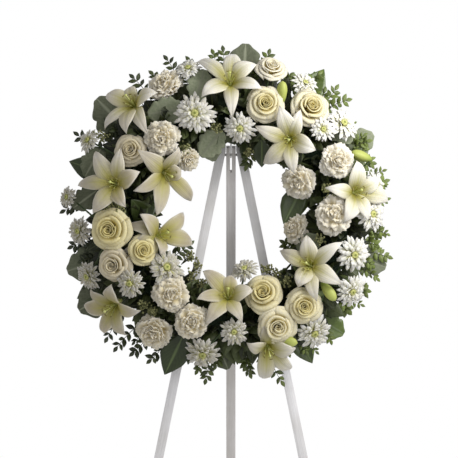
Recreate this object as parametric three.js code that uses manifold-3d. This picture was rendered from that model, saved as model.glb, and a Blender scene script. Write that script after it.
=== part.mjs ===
// A standing funeral wreath: white lilies, roses, carnations and daisy chrysanthemums with mixed greens, set
// in a ring of floral foam that hangs on a folding three-legged wooden easel. Millimetres, +Z up, the wreath
// faces -Y, and the origin is on the floor under the middle of the object.
import * as THREE from 'three';
import Module from 'manifold-3d';

const wasm = await Module();
wasm.setup();

// Stance: the front of the easel leans back, and the rear leg spreads behind it.
const lean = THREE.MathUtils.degToRad(8);
const rearSpread = THREE.MathUtils.degToRad(22);
const wreathHeight = 915;

// Easel legs, square sticks that meet side by side on one bolt.
const legWidth = 17;
const legDepth = 17;
const legSplay = THREE.MathUtils.degToRad(11.5);
const legAtBolt = 20;
const boltHeight = 118;
const legTop = 138;
const rearLegWidth = 18;
const rearLegDepth = 15;
const rearLegTop = 16;
const sideClearance = 0.8;
const slotWidth = 3.6;
const slotBelowBolt = 33;
const boltRadius = 2.5;
const boltSides = 12;
const boltThreadShown = 3;
const boltClearance = 0.35;
const boltHeadRadius = 5.5;
const boltHeadLength = 3.5;
const hookThickness = 2.4;
const hookBar = 6;
const hookTipRise = 9;

// Wreath base: a foam ring in a shallow tray.
const ringRadius = 197;
const foamHalfWidth = 31;
const foamBack = -3.2;
const foamFront = -52;
const trayBack = -0.4;
const trayRim = -9;
const trayWall = 1.6;
const ringSegments = 22;
const gap = 0.35;

// The blooms stand round the middle of the foam's section, at these distances from it.
const sectionDepth = -30;
const bloomTilt = 0.72;
const lilyThroat = 60;
const lilyTips = 99;
const hiddenTips = 64;
const budReach = 85;
const budForward = 0.35;
const roseFace = 86;
const carnationFace = 80;
const mumFace = 84;
const stemRadius = 2.4;
const stemSides = 4;
const rootSpread = 0.22;
const rootDepth = -24;
const rootTurns = [0, 2.5, -2.5, 5, -5, 7.5, -7.5, 10, -10];
const forkReach = 42;

// Places in the front view are in steps of 1.85 mm from its top left corner, x to the right and y down.
const viewStep = 1.85;
const viewCentre = [231, 217];

const lilies = [
  {
    name: 'lily_01',
    at: [138, 110],
    tips: [[103.5, 93], [132, 85.5], [157, 92], [148, 135], [126, 133], [103.5, 128]],
  },
  {
    name: 'lily_02',
    at: [230, 88],
    tips: [[233, 52], [195, 60], [201.5, 97], [232, 118], [257, 63], [262, 89]],
  },
  {
    name: 'lily_03',
    at: [291, 138],
    tips: [[279, 107], [300, 111], [315, 151], [294, 174], [263, 164], [255, 127]],
    bud: { at: [282, 93], way: [0.05, 1] },
  },
  {
    name: 'lily_04',
    at: [118, 185],
    tips: [[95, 151], [121, 148.5], [140, 172], [77, 185], [93, 213], [126, 207]],
  },
  {
    name: 'lily_05',
    at: [161, 170],
    tips: [[139, 151], [180, 148], [182, 171], [191.5, 201], [158, 216], [135, 192]],
  },
  {
    name: 'lily_06',
    at: [153, 237],
    tips: [[142, 214], [183, 212], [192.5, 244], [162, 254]],
  },
  {
    name: 'lily_07',
    at: [311.6, 267],
    tips: [[306, 235], [280, 251], [297, 286.5], [316, 301], [341, 284], [341, 242]],
    bud: { at: [328, 291], way: [0.6, -0.8] },
  },
  {
    name: 'lily_08',
    at: [228, 302],
    tips: [[203, 270.5], [197, 298], [207, 323], [242, 321], [253, 290], [230, 275]],
  },
  {
    name: 'lily_09',
    at: [120, 301],
    tips: [[81, 307], [101, 335], [126, 337], [140, 311], [111, 285], [89, 289]],
  },
  {
    name: 'lily_10',
    at: [266, 342],
    tips: [[263.5, 381], [293, 370.5], [296, 349], [247, 343]],
    bud: { at: [286, 341], way: [1, -0.15] },
  },
  {
    name: 'lily_11',
    at: [351, 193],
    tips: [[357, 161], [380, 177], [390, 200], [368, 220], [344, 222], [325, 188]],
    bud: { at: [362, 156], way: [-0.9, 0.3] },
  },
];

const roses = [
  { name: 'rose_01', at: [265, 104], radius: 34 },
  { name: 'rose_02', at: [311, 107], radius: 36 },
  { name: 'rose_03', at: [272, 66], radius: 28 },
  { name: 'rose_04', at: [110, 229.5], radius: 37 },
  { name: 'rose_05', at: [143.5, 250], radius: 27 },
  { name: 'rose_06', at: [113.5, 265], radius: 31 },
  { name: 'rose_07', at: [263, 293], radius: 35 },
  { name: 'rose_08', at: [277.5, 326], radius: 34 },
  { name: 'rose_09', at: [304, 306], radius: 32 },
  { name: 'rose_10', at: [131, 150], radius: 29 },
];

const carnations = [
  { name: 'carnation_01', at: [165, 84.5], radius: 35 },
  { name: 'carnation_02', at: [162.5, 138.5], radius: 34 },
  { name: 'carnation_03', at: [337, 161.5], radius: 35 },
  { name: 'carnation_04', at: [333, 214.5], radius: 38 },
  { name: 'carnation_05', at: [171, 293.5], radius: 36 },
  { name: 'carnation_06', at: [153.5, 332], radius: 36 },
  { name: 'carnation_07', at: [192, 321], radius: 34 },
  { name: 'carnation_08', at: [299, 182], radius: 34 },
  { name: 'carnation_09', at: [296, 229], radius: 29 },
  { name: 'carnation_10', at: [188, 159], radius: 24 },
];

const sprays = [
  { name: 'mum_spray_01', heads: [{ at: [195, 114], radius: 40 }, { at: [188, 68], radius: 26 }] },
  { name: 'mum_spray_02', heads: [{ at: [240, 128], radius: 33 }] },
  {
    name: 'mum_spray_03',
    heads: [
      { at: [342.5, 124], radius: 36 }, { at: [322.5, 130], radius: 26 }, { at: [305, 83], radius: 28 },
    ],
  },
  { name: 'mum_spray_04', heads: [{ at: [371, 214], radius: 35 }, { at: [376, 184], radius: 25 }] },
  {
    name: 'mum_spray_05',
    heads: [
      { at: [353, 254.5], radius: 36 }, { at: [351, 291], radius: 34 }, { at: [313.5, 332], radius: 37 },
    ],
  },
  {
    name: 'mum_spray_06',
    heads: [{ at: [203, 353], radius: 36 }, { at: [234, 331], radius: 28 }, { at: [245, 270.5], radius: 28 }],
  },
  { name: 'mum_spray_07', heads: [{ at: [166, 268], radius: 37 }, { at: [130.5, 283], radius: 29 }] },
  {
    name: 'mum_spray_08',
    heads: [{ at: [88, 276], radius: 31 }, { at: [79, 231], radius: 30 }, { at: [67, 197], radius: 22 }],
  },
  { name: 'mum_spray_09', heads: [{ at: [88, 140], radius: 25 }] },
];

// Greens that show from the front, by the place of their tips; each grows from the nearest branch.
const sprigTips = [
  [130, 72], [165, 53], [213, 47], [270, 47], [293, 70], [322, 68], [352, 96], [58, 210], [66, 247],
  [72, 132], [103, 343], [205, 386], [250, 380], [283, 388], [352, 316], [372, 294], [394, 258],
  [388, 234], [391, 180], [372, 140], [246, 168], [192, 243], [112, 352], [130, 358],
];
const ovalTips = [[314, 366], [161, 358], [326, 66], [66, 160], [70, 258], [74, 300], [244, 160], [290, 206]];
const lobedTips = [
  [94, 96], [246, 40], [376, 132], [228, 372], [214, 160], [76, 312], [389, 268], [64, 272], [346, 336],
];

const outerBranches = 8;
const innerBranches = 4;
const outerBranchRadius = 243;
const innerBranchRadius = 154;
const outerBranchDepth = -12;
const innerBranchDepth = -9;
const branchRadius = 2;
const branchStemRadius = 2.2;
const outerRootRadius = 212;
const innerRootRadius = 182;
const branchSegments = 5;
const outerTipDepth = -8;
const innerTipDepth = -12;
const collarLeaves = 3;
const collarReach = 58;

const whitePetal = new THREE.MeshStandardMaterial({ color: 0xf3f1e8, roughness: 0.6 });
const creamPetal = new THREE.MeshStandardMaterial({ color: 0xf2ebc9, roughness: 0.6 });
const mumPetal = new THREE.MeshStandardMaterial({ color: 0xf2f3e6, roughness: 0.6 });
const carnationPetal = new THREE.MeshStandardMaterial({ color: 0xf0ebdd, roughness: 0.7 });
const leafGreen = new THREE.MeshStandardMaterial({ color: 0x33431f, roughness: 0.55 });
const foamGreen = new THREE.MeshStandardMaterial({ color: 0x2c4a2c, roughness: 0.9 });
const trayGreen = new THREE.MeshStandardMaterial({ color: 0x1d3322, roughness: 0.5 });
const whitePaint = new THREE.MeshStandardMaterial({ color: 0xdedede, roughness: 0.5 });
const greyPaint = new THREE.MeshStandardMaterial({ color: 0xc3bfbb, roughness: 0.5 });
const zincSteel = new THREE.MeshStandardMaterial({ color: 0xb5b5b2, roughness: 0.35, metalness: 0.9 });

// The same series of numbers each run.
let seed = 7;
function random(low, high) {
  seed = (seed * 1664525 + 1013904223) % 4294967296;
  return low + (high - low) * (seed / 4294967296);
}

function vec(x, y, z) {
  return new THREE.Vector3(x, y, z);
}

function along(start, direction, distance) {
  return start.clone().addScaledVector(direction, distance);
}

// A closed solid from a list of points and triangles, turned outside out when its volume comes out negative.
function solidFrom(points, triangles) {
  let volume = 0;
  for (const [a, b, c] of triangles) {
    volume += points[a].dot(points[b].clone().cross(points[c]));
  }
  const faces = volume < 0 ? triangles.map(([a, b, c]) => [a, c, b]) : triangles;
  const vertProperties = new Float32Array(points.flatMap((p) => [p.x, p.y, p.z]));
  const triVerts = new Uint32Array(faces.flat());
  return new wasm.Manifold(new wasm.Mesh({ numProp: 3, vertProperties, triVerts }));
}

// Skin over rings of points with the same count; a ring of one point closes the form in a tip.
function loft(rings) {
  const points = rings.flat();
  const starts = [];
  let total = 0;
  for (const ring of rings) {
    starts.push(total);
    total += ring.length;
  }
  const triangles = [];
  for (let i = 0; i + 1 < rings.length; i += 1) {
    const [here, next] = [rings[i].length, rings[i + 1].length];
    const count = Math.max(here, next);
    for (let k = 0; k < count; k += 1) {
      const turn = (k + 1) % count;
      if (next === 1) {
        triangles.push([starts[i] + k, starts[i] + turn, starts[i + 1]]);
      } else if (here === 1) {
        triangles.push([starts[i], starts[i + 1] + turn, starts[i + 1] + k]);
      } else {
        triangles.push([starts[i] + k, starts[i] + turn, starts[i + 1] + turn]);
        triangles.push([starts[i] + k, starts[i + 1] + turn, starts[i + 1] + k]);
      }
    }
  }
  const last = rings.length - 1;
  for (let k = 1; k + 1 < rings[0].length; k += 1) {
    triangles.push([starts[0], starts[0] + k + 1, starts[0] + k]);
  }
  for (let k = 1; k + 1 < rings[last].length; k += 1) {
    triangles.push([starts[last], starts[last] + k, starts[last] + k + 1]);
  }
  return solidFrom(points, triangles);
}

function circle(centre, across, up, radius, sides) {
  const ring = [];
  for (let k = 0; k < sides; k += 1) {
    const angle = (2 * Math.PI * k) / sides;
    ring.push(along(along(centre, across, radius * Math.cos(angle)), up, radius * Math.sin(angle)));
  }
  return ring;
}

// A round rod through the points, with one radius for each of them.
function rod(path, radii, sides) {
  const run = path[path.length - 1].clone().sub(path[0]).normalize();
  const reference = Math.abs(run.z) > 0.8 ? vec(1, 0, 0) : vec(0, 0, 1);
  const rings = path.map((point, i) => {
    const ahead = path[Math.min(i + 1, path.length - 1)];
    const behind = path[Math.max(i - 1, 0)];
    const tangent = ahead.clone().sub(behind).normalize();
    const across = tangent.clone().cross(reference).normalize();
    const up = across.clone().cross(tangent);
    return circle(point, across, up, radii[i], sides);
  });
  return loft(rings);
}

function join(solids) {
  return wasm.Manifold.union(solids);
}

// The body that holds the given point's surroundings: the biggest one left after cutting.
function biggest(solid) {
  let kept = solid;
  let most = 0;
  for (const body of solid.decompose()) {
    if (body.volume() > most) {
      most = body.volume();
      kept = body;
    }
  }
  return kept;
}

// Where a bloom sits: its centre over the foam's section, and the way it faces.
function faceOn([x, y]) {
  return vec((x - viewCentre[0]) * viewStep, 0, (viewCentre[1] - y) * viewStep);
}

function seat(place, reach) {
  const flat = faceOn(place);
  const radial = flat.clone().normalize();
  const offset = flat.length() - ringRadius;
  const lift = THREE.MathUtils.clamp(offset / reach, -0.94, 0.94);
  const tilt = lift * bloomTilt;
  const facing = radial.clone().multiplyScalar(tilt).add(vec(0, -Math.sqrt(1 - tilt * tilt), 0));
  const centre = vec(flat.x, sectionDepth - reach * Math.sqrt(1 - lift * lift), flat.z);
  return { centre, facing, radial, offset };
}

// The foot of a stem, inside the foam.
function rootOf({ radial, offset }, turn) {
  const shift = THREE.MathUtils.clamp(offset * rootSpread, -18, 18);
  const turned = radial.clone().applyAxisAngle(vec(0, 1, 0), THREE.MathUtils.degToRad(turn));
  return turned.multiplyScalar(ringRadius + shift).setY(rootDepth);
}

// A frame with its third axis along the way a bloom faces, turned by spin about it.
function frameOf({ centre, facing }, spin) {
  const side = vec(0, 0, 1).cross(facing).normalize();
  const top = facing.clone().cross(side);
  const across = side.clone().multiplyScalar(Math.cos(spin)).addScaledVector(top, Math.sin(spin));
  const up = facing.clone().cross(across);
  return (x, y, z) => along(along(along(centre, across, x), up, y), facing, z);
}

function ringAt(place, radius, height, sides, turn = 0) {
  const ring = [];
  for (let k = 0; k < sides; k += 1) {
    const angle = turn + (2 * Math.PI * k) / sides;
    ring.push(place(radius * Math.cos(angle), radius * Math.sin(angle), height));
  }
  return ring;
}

// One skin that climbs a head in terraces: out under each layer to its rim, and back in above it. Rims have
// tips and notches in turn, and each layer's tips stand over the notches of the layer below.
function terraces(place, radius, count, layers) {
  const rings = [[place(0, 0, layers[0].under * radius)]];
  layers.forEach((layer, i) => {
    const [rim, groove] = [[], []];
    for (let k = 0; k < count * 2; k += 1) {
      const angle = (Math.PI * k) / count;
      const tip = (k + i) % 2 === 0;
      const out = radius * (tip ? layer.out * random(0.9, 1) : layer.notch);
      const height = radius * (tip ? layer.tip : layer.dip) + random(-0.8, 0.8);
      rim.push(place(out * Math.cos(angle), out * Math.sin(angle), height));
      const inner = radius * layer.groove;
      groove.push(place(inner * Math.cos(angle), inner * Math.sin(angle), radius * layer.floor));
    }
    rings.push(rim);
    if (i + 1 < layers.length) {
      rings.push(groove);
    }
  });
  return loft([...rings, [place(0, 0, layers[layers.length - 1].floor * radius)]]);
}

// Lily: six pointed, channelled petals that rise from a narrow throat and bend back at their tips.
const petalSteps = [
  { t: 0.34, half: 12 },
  { t: 0.67, half: 16.5 },
];
const petalThickness = 1.8;
const petalRoom = 0.8;
const petalChannel = 0.21;
const defaultPetal = 0.92;

function petalCurve(base, facing, tip) {
  const toTip = tip.clone().sub(base);
  const sideways = toTip.clone().addScaledVector(facing, -toTip.dot(facing));
  const first = along(base, facing, 30).addScaledVector(sideways, 0.1);
  const second = along(base, facing, 47).addScaledVector(sideways, 0.62);
  return { curve: new THREE.CubicBezierCurve3(base, first, second, tip), sideways };
}

function petal(base, facing, tip, widen, thicken) {
  const { curve, sideways } = petalCurve(base, facing, tip);
  const across = sideways.clone().cross(facing).normalize();
  const rings = petalSteps.map(({ t, half }) => {
    const point = curve.getPoint(t);
    const up = curve.getTangent(t).cross(across).normalize();
    const thick = petalThickness / 2 + thicken;
    const floor = along(point, up, -petalChannel * half * widen);
    const reach = half * widen + thicken;
    const [left, right] = [along(point, across, reach), along(point, across, -reach)];
    if (thicken === 0) {
      return [left, along(floor, up, thick), right, along(floor, up, -thick)];
    }
    const top = [along(left, up, thicken), along(floor, up, thick), along(right, up, thicken)];
    return [...top, along(right, up, -thicken), along(floor, up, -thick), along(left, up, -thicken)];
  });
  const start = along(base, facing, -2 * thicken);
  return loft([[start], ...rings, [along(tip, curve.getTangent(1), 2 * thicken)]]);
}

// All six tips: those that show, and those hidden by other blooms, which lie lower, in the middle of the
// widest spaces left between them.
function allTips({ at, tips }) {
  const spokes = tips.map(([x, y]) => ({
    angle: Math.atan2(y - at[1], x - at[0]),
    length: Math.hypot(x - at[0], y - at[1]),
    reach: lilyTips,
  }));
  const usual = Math.min(38, Math.max(...spokes.map((spoke) => spoke.length))) * defaultPetal;
  while (spokes.length < 6) {
    spokes.sort((a, b) => a.angle - b.angle);
    let widest = { space: 0, angle: 0 };
    spokes.forEach((spoke, i) => {
      const last = i === spokes.length - 1;
      const end = last ? spokes[0].angle + 2 * Math.PI : spokes[i + 1].angle;
      if (end - spoke.angle > widest.space) {
        widest = { space: end - spoke.angle, angle: (end + spoke.angle) / 2 };
      }
    });
    spokes.push({ angle: widest.angle, length: usual, reach: hiddenTips });
  }
  return spokes.map(({ angle, length, reach }) => {
    const flat = faceOn([at[0] + length * Math.cos(angle), at[1] + length * Math.sin(angle)]);
    const offset = flat.length() - ringRadius;
    return flat.setY(sectionDepth - reach * Math.sqrt(Math.max(0, 1 - (offset / reach) ** 2)));
  });
}

function lilyPetals(lily, thicken) {
  const { centre, facing } = seat(lily.at, lilyThroat);
  const widths = [1, 0.82];
  return allTips(lily).map((tip, i) => petal(centre, facing, tip, widths[i % 2], thicken));
}

// Pistil and stamens stand in the throat, on a small cup that joins petals and stem.
const lilyStemDepth = -1;
const heartTurn = 0.3;
const stamenSpread = 13;
const stamenHeight = 47;
const antherLength = 6;
const pistilHeight = 52;

function lilyHeart(lily) {
  const place = frameOf(seat(lily.at, lilyThroat), heartTurn);
  const cup = loft([[place(0, 0, -4)], ringAt(place, 6, 3, 5), [place(0, 0, 13)]]);
  const parts = [cup];
  for (let k = 0; k < 6; k += 1) {
    const angle = (Math.PI * k) / 3 + 0.5;
    const [c, s] = [Math.cos(angle), Math.sin(angle)];
    const low = place(2 * c, 2 * s, 6);
    const high = place(stamenSpread * c, stamenSpread * s, stamenHeight);
    const side = place(-s, c, 0).sub(place(0, 0, 0)).normalize();
    const up = high.clone().sub(low).cross(side).normalize();
    parts.push(loft([[low], circle(high, side, up, 1.1, 3), [along(high, side, antherLength)]]));
  }
  parts.push(rod([place(0, 0, 5), place(0, 0, pistilHeight)], [1.4, 2.2], 3));
  return join(parts);
}

function heartRoom(lily) {
  const place = frameOf(seat(lily.at, lilyThroat), heartTurn);
  return loft([ringAt(place, 7.5, -5, 6), ringAt(place, 7.5, 12, 6), ringAt(place, 18, 55, 6)]);
}

// Lily bud: a spindle that lies nearly flat in the front view.
const budRings = [{ radius: 7.5, height: -12 }, { radius: 10, height: 2 }, { radius: 7, height: 14 }];
const budFoot = -23;
const budTip = 23;
const budStemRadius = 1.6;
const budBranching = 34;

function budSeat({ at, way }) {
  return { centre: seat(at, budReach).centre, facing: vec(way[0], -budForward, way[1]).normalize() };
}

function budSolid(lily, thicken) {
  const place = frameOf(budSeat(lily.bud), 0);
  const rings = budRings.map(({ radius, height }) => ringAt(place, radius + thicken, height, 6));
  return loft([[place(0, 0, budFoot - thicken)], ...rings, [place(0, 0, budTip + thicken)]]);
}

// Rose: three turns of petals round a closed middle. Each petal starts outside the end of the one before it,
// and the skin goes over its lip and down again inside it.
const roseTurns = [
  { lip: [1, 0.06], floor: [0.68, -0.18] },
  { lip: [0.72, 0.24], floor: [0.46, 0.02] },
  { lip: [0.44, 0.32], floor: [0.26, 0.12] },
];
const roseCup = [[0.34, -0.66], [0.84, -0.32]];
const roseTwist = 0.6;
const rosePetalCount = 4;
const petalOutline = [[0, 1], [0.45, 1.04], [0.92, 0.86]];

function roseRing(place, radius, [out, height], turn = 0) {
  const ring = [];
  for (let k = 0; k < rosePetalCount; k += 1) {
    for (const [share, reach] of petalOutline) {
      const angle = turn + (2 * Math.PI * (k + share)) / rosePetalCount;
      const distance = radius * out * reach;
      const lift = share === 0.45 ? 0.05 : 0;
      ring.push(place(distance * Math.cos(angle), distance * Math.sin(angle), radius * (height + lift)));
    }
  }
  return ring;
}

function roseHead(rose) {
  const place = frameOf(seat(rose.at, roseFace), random(0, 6));
  const rings = roseCup.map((size) => roseRing(place, rose.radius, size));
  roseTurns.forEach(({ lip, floor }, i) => {
    rings.push(roseRing(place, rose.radius, lip, i * roseTwist));
    rings.push(roseRing(place, rose.radius, floor, (i + 0.5) * roseTwist));
  });
  return loft([...rings, [place(0, 0, rose.radius * 0.3)]]);
}

// Carnation: ruffled layers, one above the other, over a slim green calyx.
const carnationLayers = [
  { under: -0.5, out: 1, notch: 0.84, tip: -0.2, dip: -0.04, groove: 0.6, floor: -0.02 },
  { out: 0.84, notch: 0.7, tip: 0.14, dip: 0.28, groove: 0.42, floor: 0.2 },
  { out: 0.56, notch: 0.42, tip: 0.42, dip: 0.54, groove: 0.2, floor: 0.3 },
];
const carnationFrills = 8;

function carnationHead(carnation) {
  const place = frameOf(seat(carnation.at, carnationFace), random(0, 6));
  const r = carnation.radius;
  const calyx = loft([ringAt(place, 4, -r * 0.95, 5), ringAt(place, 8, -r * 0.3, 5)]);
  return join([terraces(place, r, carnationFrills, carnationLayers), calyx]);
}

// Chrysanthemum: three layers of rays round a raised button.
const mumLayers = [
  { under: -0.36, out: 1, notch: 0.56, tip: -0.06, dip: -0.14, groove: 0.36, floor: 0 },
  { out: 0.8, notch: 0.46, tip: 0.14, dip: 0.06, groove: 0.24, floor: 0.14 },
  { out: 0.5, notch: 0.26, tip: 0.28, dip: 0.22, groove: 0, floor: 0.2 },
];
const mumRays = 8;
const smallMum = 31;
const mumStemDepth = 8;

function mumHead(head) {
  const layers = head.radius < smallMum ? mumLayers.slice(0, 2) : mumLayers;
  return terraces(frameOf(seat(head.at, mumFace), random(0, 6)), head.radius, mumRays, layers);
}

// Room that other pieces keep clear of: a plain form a little bigger than a round bloom's head.
const roomSides = 8;
const roomRound = 1 / Math.cos(Math.PI / roomSides);
function roomFor(place, radius, profile) {
  return loft(profile.map(([out, height]) => {
    const reach = (radius * out + gap) * roomRound;
    return ringAt(place, reach, height * radius, roomSides);
  }));
}
const roseRoom = [[0.36, -0.68], [0.9, -0.34], [1.04, 0.12], [0.46, 0.38]];
const carnationRoom = [[0.3, -0.97], [0.36, -0.5], [1, -0.28], [0.94, 0.2], [0.6, 0.58]];
const mumRoom = [[0.1, -0.38], [1, -0.2], [1, 0], [0.82, 0.24], [0.5, 0.34]];

// Stems run straight from the bloom into the foam; the heads of a spray meet at a fork above it.
function stemSolids(seated, depth, thicken, turn) {
  const top = along(seated.centre, seated.facing, -depth);
  const root = rootOf(seated, turn);
  const end = along(root, top.clone().sub(root).normalize(), -thicken * 3);
  return rod([end, top], [stemRadius + thicken, stemRadius + thicken], stemSides);
}

function forkedStem(seats, depth, thicken, turn) {
  const facing = seats.reduce((sum, seated) => sum.add(seated.facing), vec(0, 0, 0)).normalize();
  const radial = seats.reduce((sum, seated) => sum.add(seated.radial), vec(0, 0, 0)).normalize();
  const fork = along(radial.clone().multiplyScalar(ringRadius).setY(sectionDepth), facing, forkReach);
  const root = rootOf({ radial, offset: facing.dot(radial) * mumFace }, turn);
  const end = along(root, fork.clone().sub(root).normalize(), -thicken * 3);
  const wide = stemRadius + thicken;
  const parts = [rod([end, along(fork, facing, 1)], [wide, wide], stemSides)];
  for (const seated of seats) {
    const head = along(seated.centre, seated.facing, -depth);
    parts.push(rod([along(fork, facing, -1), head], [wide, wide], stemSides));
  }
  return join(parts);
}

// Greens: a double-pointed blade with a raised rib, and a lobed one.
const leafAbove = 0.9;
const leafBelow = 1.2;
const lobedHalfThickness = 1.4;
const lobedOutline = [
  [0, 0.04], [0.16, 0.24], [0.28, 0.37], [0.38, 0.31], [0.54, 0.43], [0.64, 0.35], [0.8, 0.34], [0.86, 0.2],
  [1, 0.05],
];

function leaf(base, direction, up, length, half, droop) {
  const across = direction.clone().cross(up).normalize();
  const middle = along(along(base, direction, length * 0.5), up, droop);
  const rib = [along(middle, up, leafAbove), along(middle, up, -leafBelow)];
  const ring = [along(middle, across, half), rib[0], along(middle, across, -half), rib[1]];
  return loft([[base], ring, [along(base, direction, length)]]);
}

function lobedLeaf(base, direction, up, length) {
  const across = direction.clone().cross(up).normalize();
  const edge = (side) => lobedOutline.map(([far, out]) => (
    along(along(base, direction, far * length), across, side * out * length)
  ));
  const middle = along(base, direction, length * 0.5);
  const rim = [...edge(1), ...edge(-1).reverse()];
  return loft([[along(middle, up, -lobedHalfThickness)], rim, [along(middle, up, lobedHalfThickness)]]);
}

function greenTip(place) {
  const flat = faceOn(place);
  return flat.setY(flat.length() > ringRadius ? outerTipDepth : innerTipDepth);
}

// A thin twig from its branch to the tip, with a pair of small leaves at each step and one at its end.
const sprigPairs = 2;
const sprigPairStep = 13;
const sprigPairFoot = 34;
const sprigLeafLength = 17;
const sprigLeafHalf = 4.5;
const sprigTipLeaf = 15;

function sprig(start, tip) {
  const direction = tip.clone().sub(start);
  const length = direction.length();
  direction.normalize();
  const across = direction.clone().cross(vec(0, 1, 0)).normalize();
  const up = across.clone().cross(direction);
  const parts = [rod([start, along(start, direction, length - sprigTipLeaf + 3)], [1.5, 1], 3)];
  for (let k = 0; k < sprigPairs; k += 1) {
    const foot = along(start, direction, length - sprigPairFoot + k * sprigPairStep);
    for (const side of [-1, 1]) {
      const way = direction.clone().multiplyScalar(0.75).addScaledVector(across, side * random(0.6, 0.9));
      way.addScaledVector(up, random(-0.3, 0.3)).normalize();
      parts.push(leaf(foot, way, up, sprigLeafLength - k, sprigLeafHalf, 1));
    }
  }
  const last = along(start, direction, length - sprigTipLeaf);
  parts.push(leaf(last, direction, up, sprigTipLeaf, sprigLeafHalf, 1));
  return join(parts);
}

const ovalHalf = 0.3;
const ovalDroop = 3;

function onBranch(radius, angle) {
  const depth = radius > ringRadius ? outerBranchDepth : innerBranchDepth;
  return vec(radius * Math.cos(angle), depth, radius * Math.sin(angle));
}

function branchNode(index, count, radius) {
  const outer = radius > ringRadius;
  const span = (2 * Math.PI) / count;
  const first = index * span;
  const path = [];
  for (let k = 0; k <= branchSegments; k += 1) {
    path.push(onBranch(radius, first + span * (0.08 + (0.84 * k) / branchSegments)));
  }
  const parts = [rod(path, path.map(() => branchRadius), 4)];
  const middle = first + span / 2;
  const place = (tip) => {
    const flat = faceOn(tip);
    const angle = (Math.atan2(flat.z, flat.x) + 2 * Math.PI) % (2 * Math.PI);
    const mine = Math.floor(angle / span) === index && flat.length() > ringRadius === outer;
    return mine ? THREE.MathUtils.clamp(angle, first + span * 0.12, first + span * 0.88) : null;
  };
  for (const tip of sprigTips) {
    if (place(tip) !== null) {
      parts.push(sprig(onBranch(radius, place(tip)), greenTip(tip)));
    }
  }
  for (const [tips, form] of [[ovalTips, 'oval'], [lobedTips, 'lobed']]) {
    for (const tip of tips.filter((one) => place(one) !== null)) {
      const start = onBranch(radius, place(tip));
      const way = greenTip(tip).sub(start);
      const length = way.length();
      way.normalize();
      const up = way.clone().cross(vec(0, 1, 0)).cross(way).normalize();
      const oval = () => leaf(start, way, up, length, length * ovalHalf, ovalDroop);
      parts.push(form === 'oval' ? oval() : lobedLeaf(start, way, up, length));
    }
  }
  const root = onBranch(outer ? outerRootRadius : innerRootRadius, middle).setY(rootDepth);
  return { parts, first, span, outer, root, joint: onBranch(radius, middle) };
}

// Leaves that curve from a branch over the front of the foam and cover it between the blooms.
const collarSweep = [{ turn: 0.5, half: 12 }, { turn: 1.1, half: 14 }];
const collarTip = 1.42;

function collarLeaf(radius, angle, side) {
  const radial = vec(Math.cos(angle), 0, Math.sin(angle));
  const tangent = vec(-Math.sin(angle), 0, Math.cos(angle));
  const core = radial.clone().multiplyScalar(ringRadius).setY(sectionDepth);
  const outwards = (turn) => {
    const flat = radial.clone().multiplyScalar(side * Math.cos(turn));
    return flat.setY(-Math.sin(turn));
  };
  const rings = collarSweep.map(({ turn, half }) => {
    const away = outwards(turn);
    const point = along(core, away, collarReach);
    const rib = [along(point, away, 2), along(point, away, -1)];
    return [along(point, tangent, half), rib[0], along(point, tangent, -half), rib[1]];
  });
  return loft([[onBranch(radius, angle)], ...rings, [along(core, outwards(collarTip), collarReach)]]);
}

// Stems come first: each is set in the foam where it clears the ones before it, and heads and leaves are then
// cut clear of all of them.
const stemRooms = [];
function plant(name, material, head, headRoom, stems) {
  const clear = rootTurns.find((turn) => {
    const room = stems(gap, turn);
    return stemRooms.every((other) => room.intersect(other).isEmpty());
  });
  if (clear === undefined) {
    throw new Error(`no free place in the foam for ${name}`);
  }
  stemRooms.push(stems(gap, clear));
  return { name, material, head, room: headRoom, stem: stems(0, clear) };
}

function lilyStems(lily, thicken, turn) {
  const seated = seat(lily.at, lilyThroat);
  const parts = [stemSolids(seated, lilyStemDepth, thicken, turn)];
  if (lily.bud) {
    const bud = budSeat(lily.bud);
    const root = rootOf(seated, turn);
    const low = along(root, seated.centre.clone().sub(root).normalize(), budBranching);
    const wide = budStemRadius + thicken;
    parts.push(rod([low, along(bud.centre, bud.facing, budRings[0].height)], [wide, wide], stemSides));
  }
  return join(parts);
}

const planted = [];
for (const lily of lilies) {
  const buds = (thicken) => (lily.bud ? [budSolid(lily, thicken)] : []);
  const head = join([...lilyPetals(lily, 0), lilyHeart(lily), ...buds(0)]);
  const room = join([...lilyPetals(lily, petalRoom), heartRoom(lily), ...buds(gap)]);
  planted.push(plant(lily.name, whitePetal, head, room, (thicken, turn) => lilyStems(lily, thicken, turn)));
}
for (const rose of roses) {
  const seated = seat(rose.at, roseFace);
  const room = roomFor(frameOf(seated, 0), rose.radius, roseRoom);
  const stems = (thicken, turn) => stemSolids(seated, rose.radius * 0.55, thicken, turn);
  planted.push(plant(rose.name, creamPetal, roseHead(rose), room, stems));
}
for (const carnation of carnations) {
  const seated = seat(carnation.at, carnationFace);
  const room = roomFor(frameOf(seated, 0), carnation.radius, carnationRoom);
  const stems = (thicken, turn) => stemSolids(seated, carnation.radius * 0.85, thicken, turn);
  planted.push(plant(carnation.name, carnationPetal, carnationHead(carnation), room, stems));
}
for (const spray of sprays) {
  const seats = spray.heads.map((head) => seat(head.at, mumFace));
  const room = join(spray.heads.map((head, i) => roomFor(frameOf(seats[i], 0), head.radius, mumRoom)));
  const stems = (thicken, turn) => forkedStem(seats, mumStemDepth, thicken, turn);
  planted.push(plant(spray.name, mumPetal, join(spray.heads.map(mumHead)), room, stems));
}

const branches = [];
for (let i = 0; i < outerBranches; i += 1) {
  branches.push({ name: `outer_greens_0${i + 1}`, ...branchNode(i, outerBranches, outerBranchRadius) });
}
for (let i = 0; i < innerBranches; i += 1) {
  branches.push({ name: `inner_greens_0${i + 1}`, ...branchNode(i, innerBranches, innerBranchRadius) });
}

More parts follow.
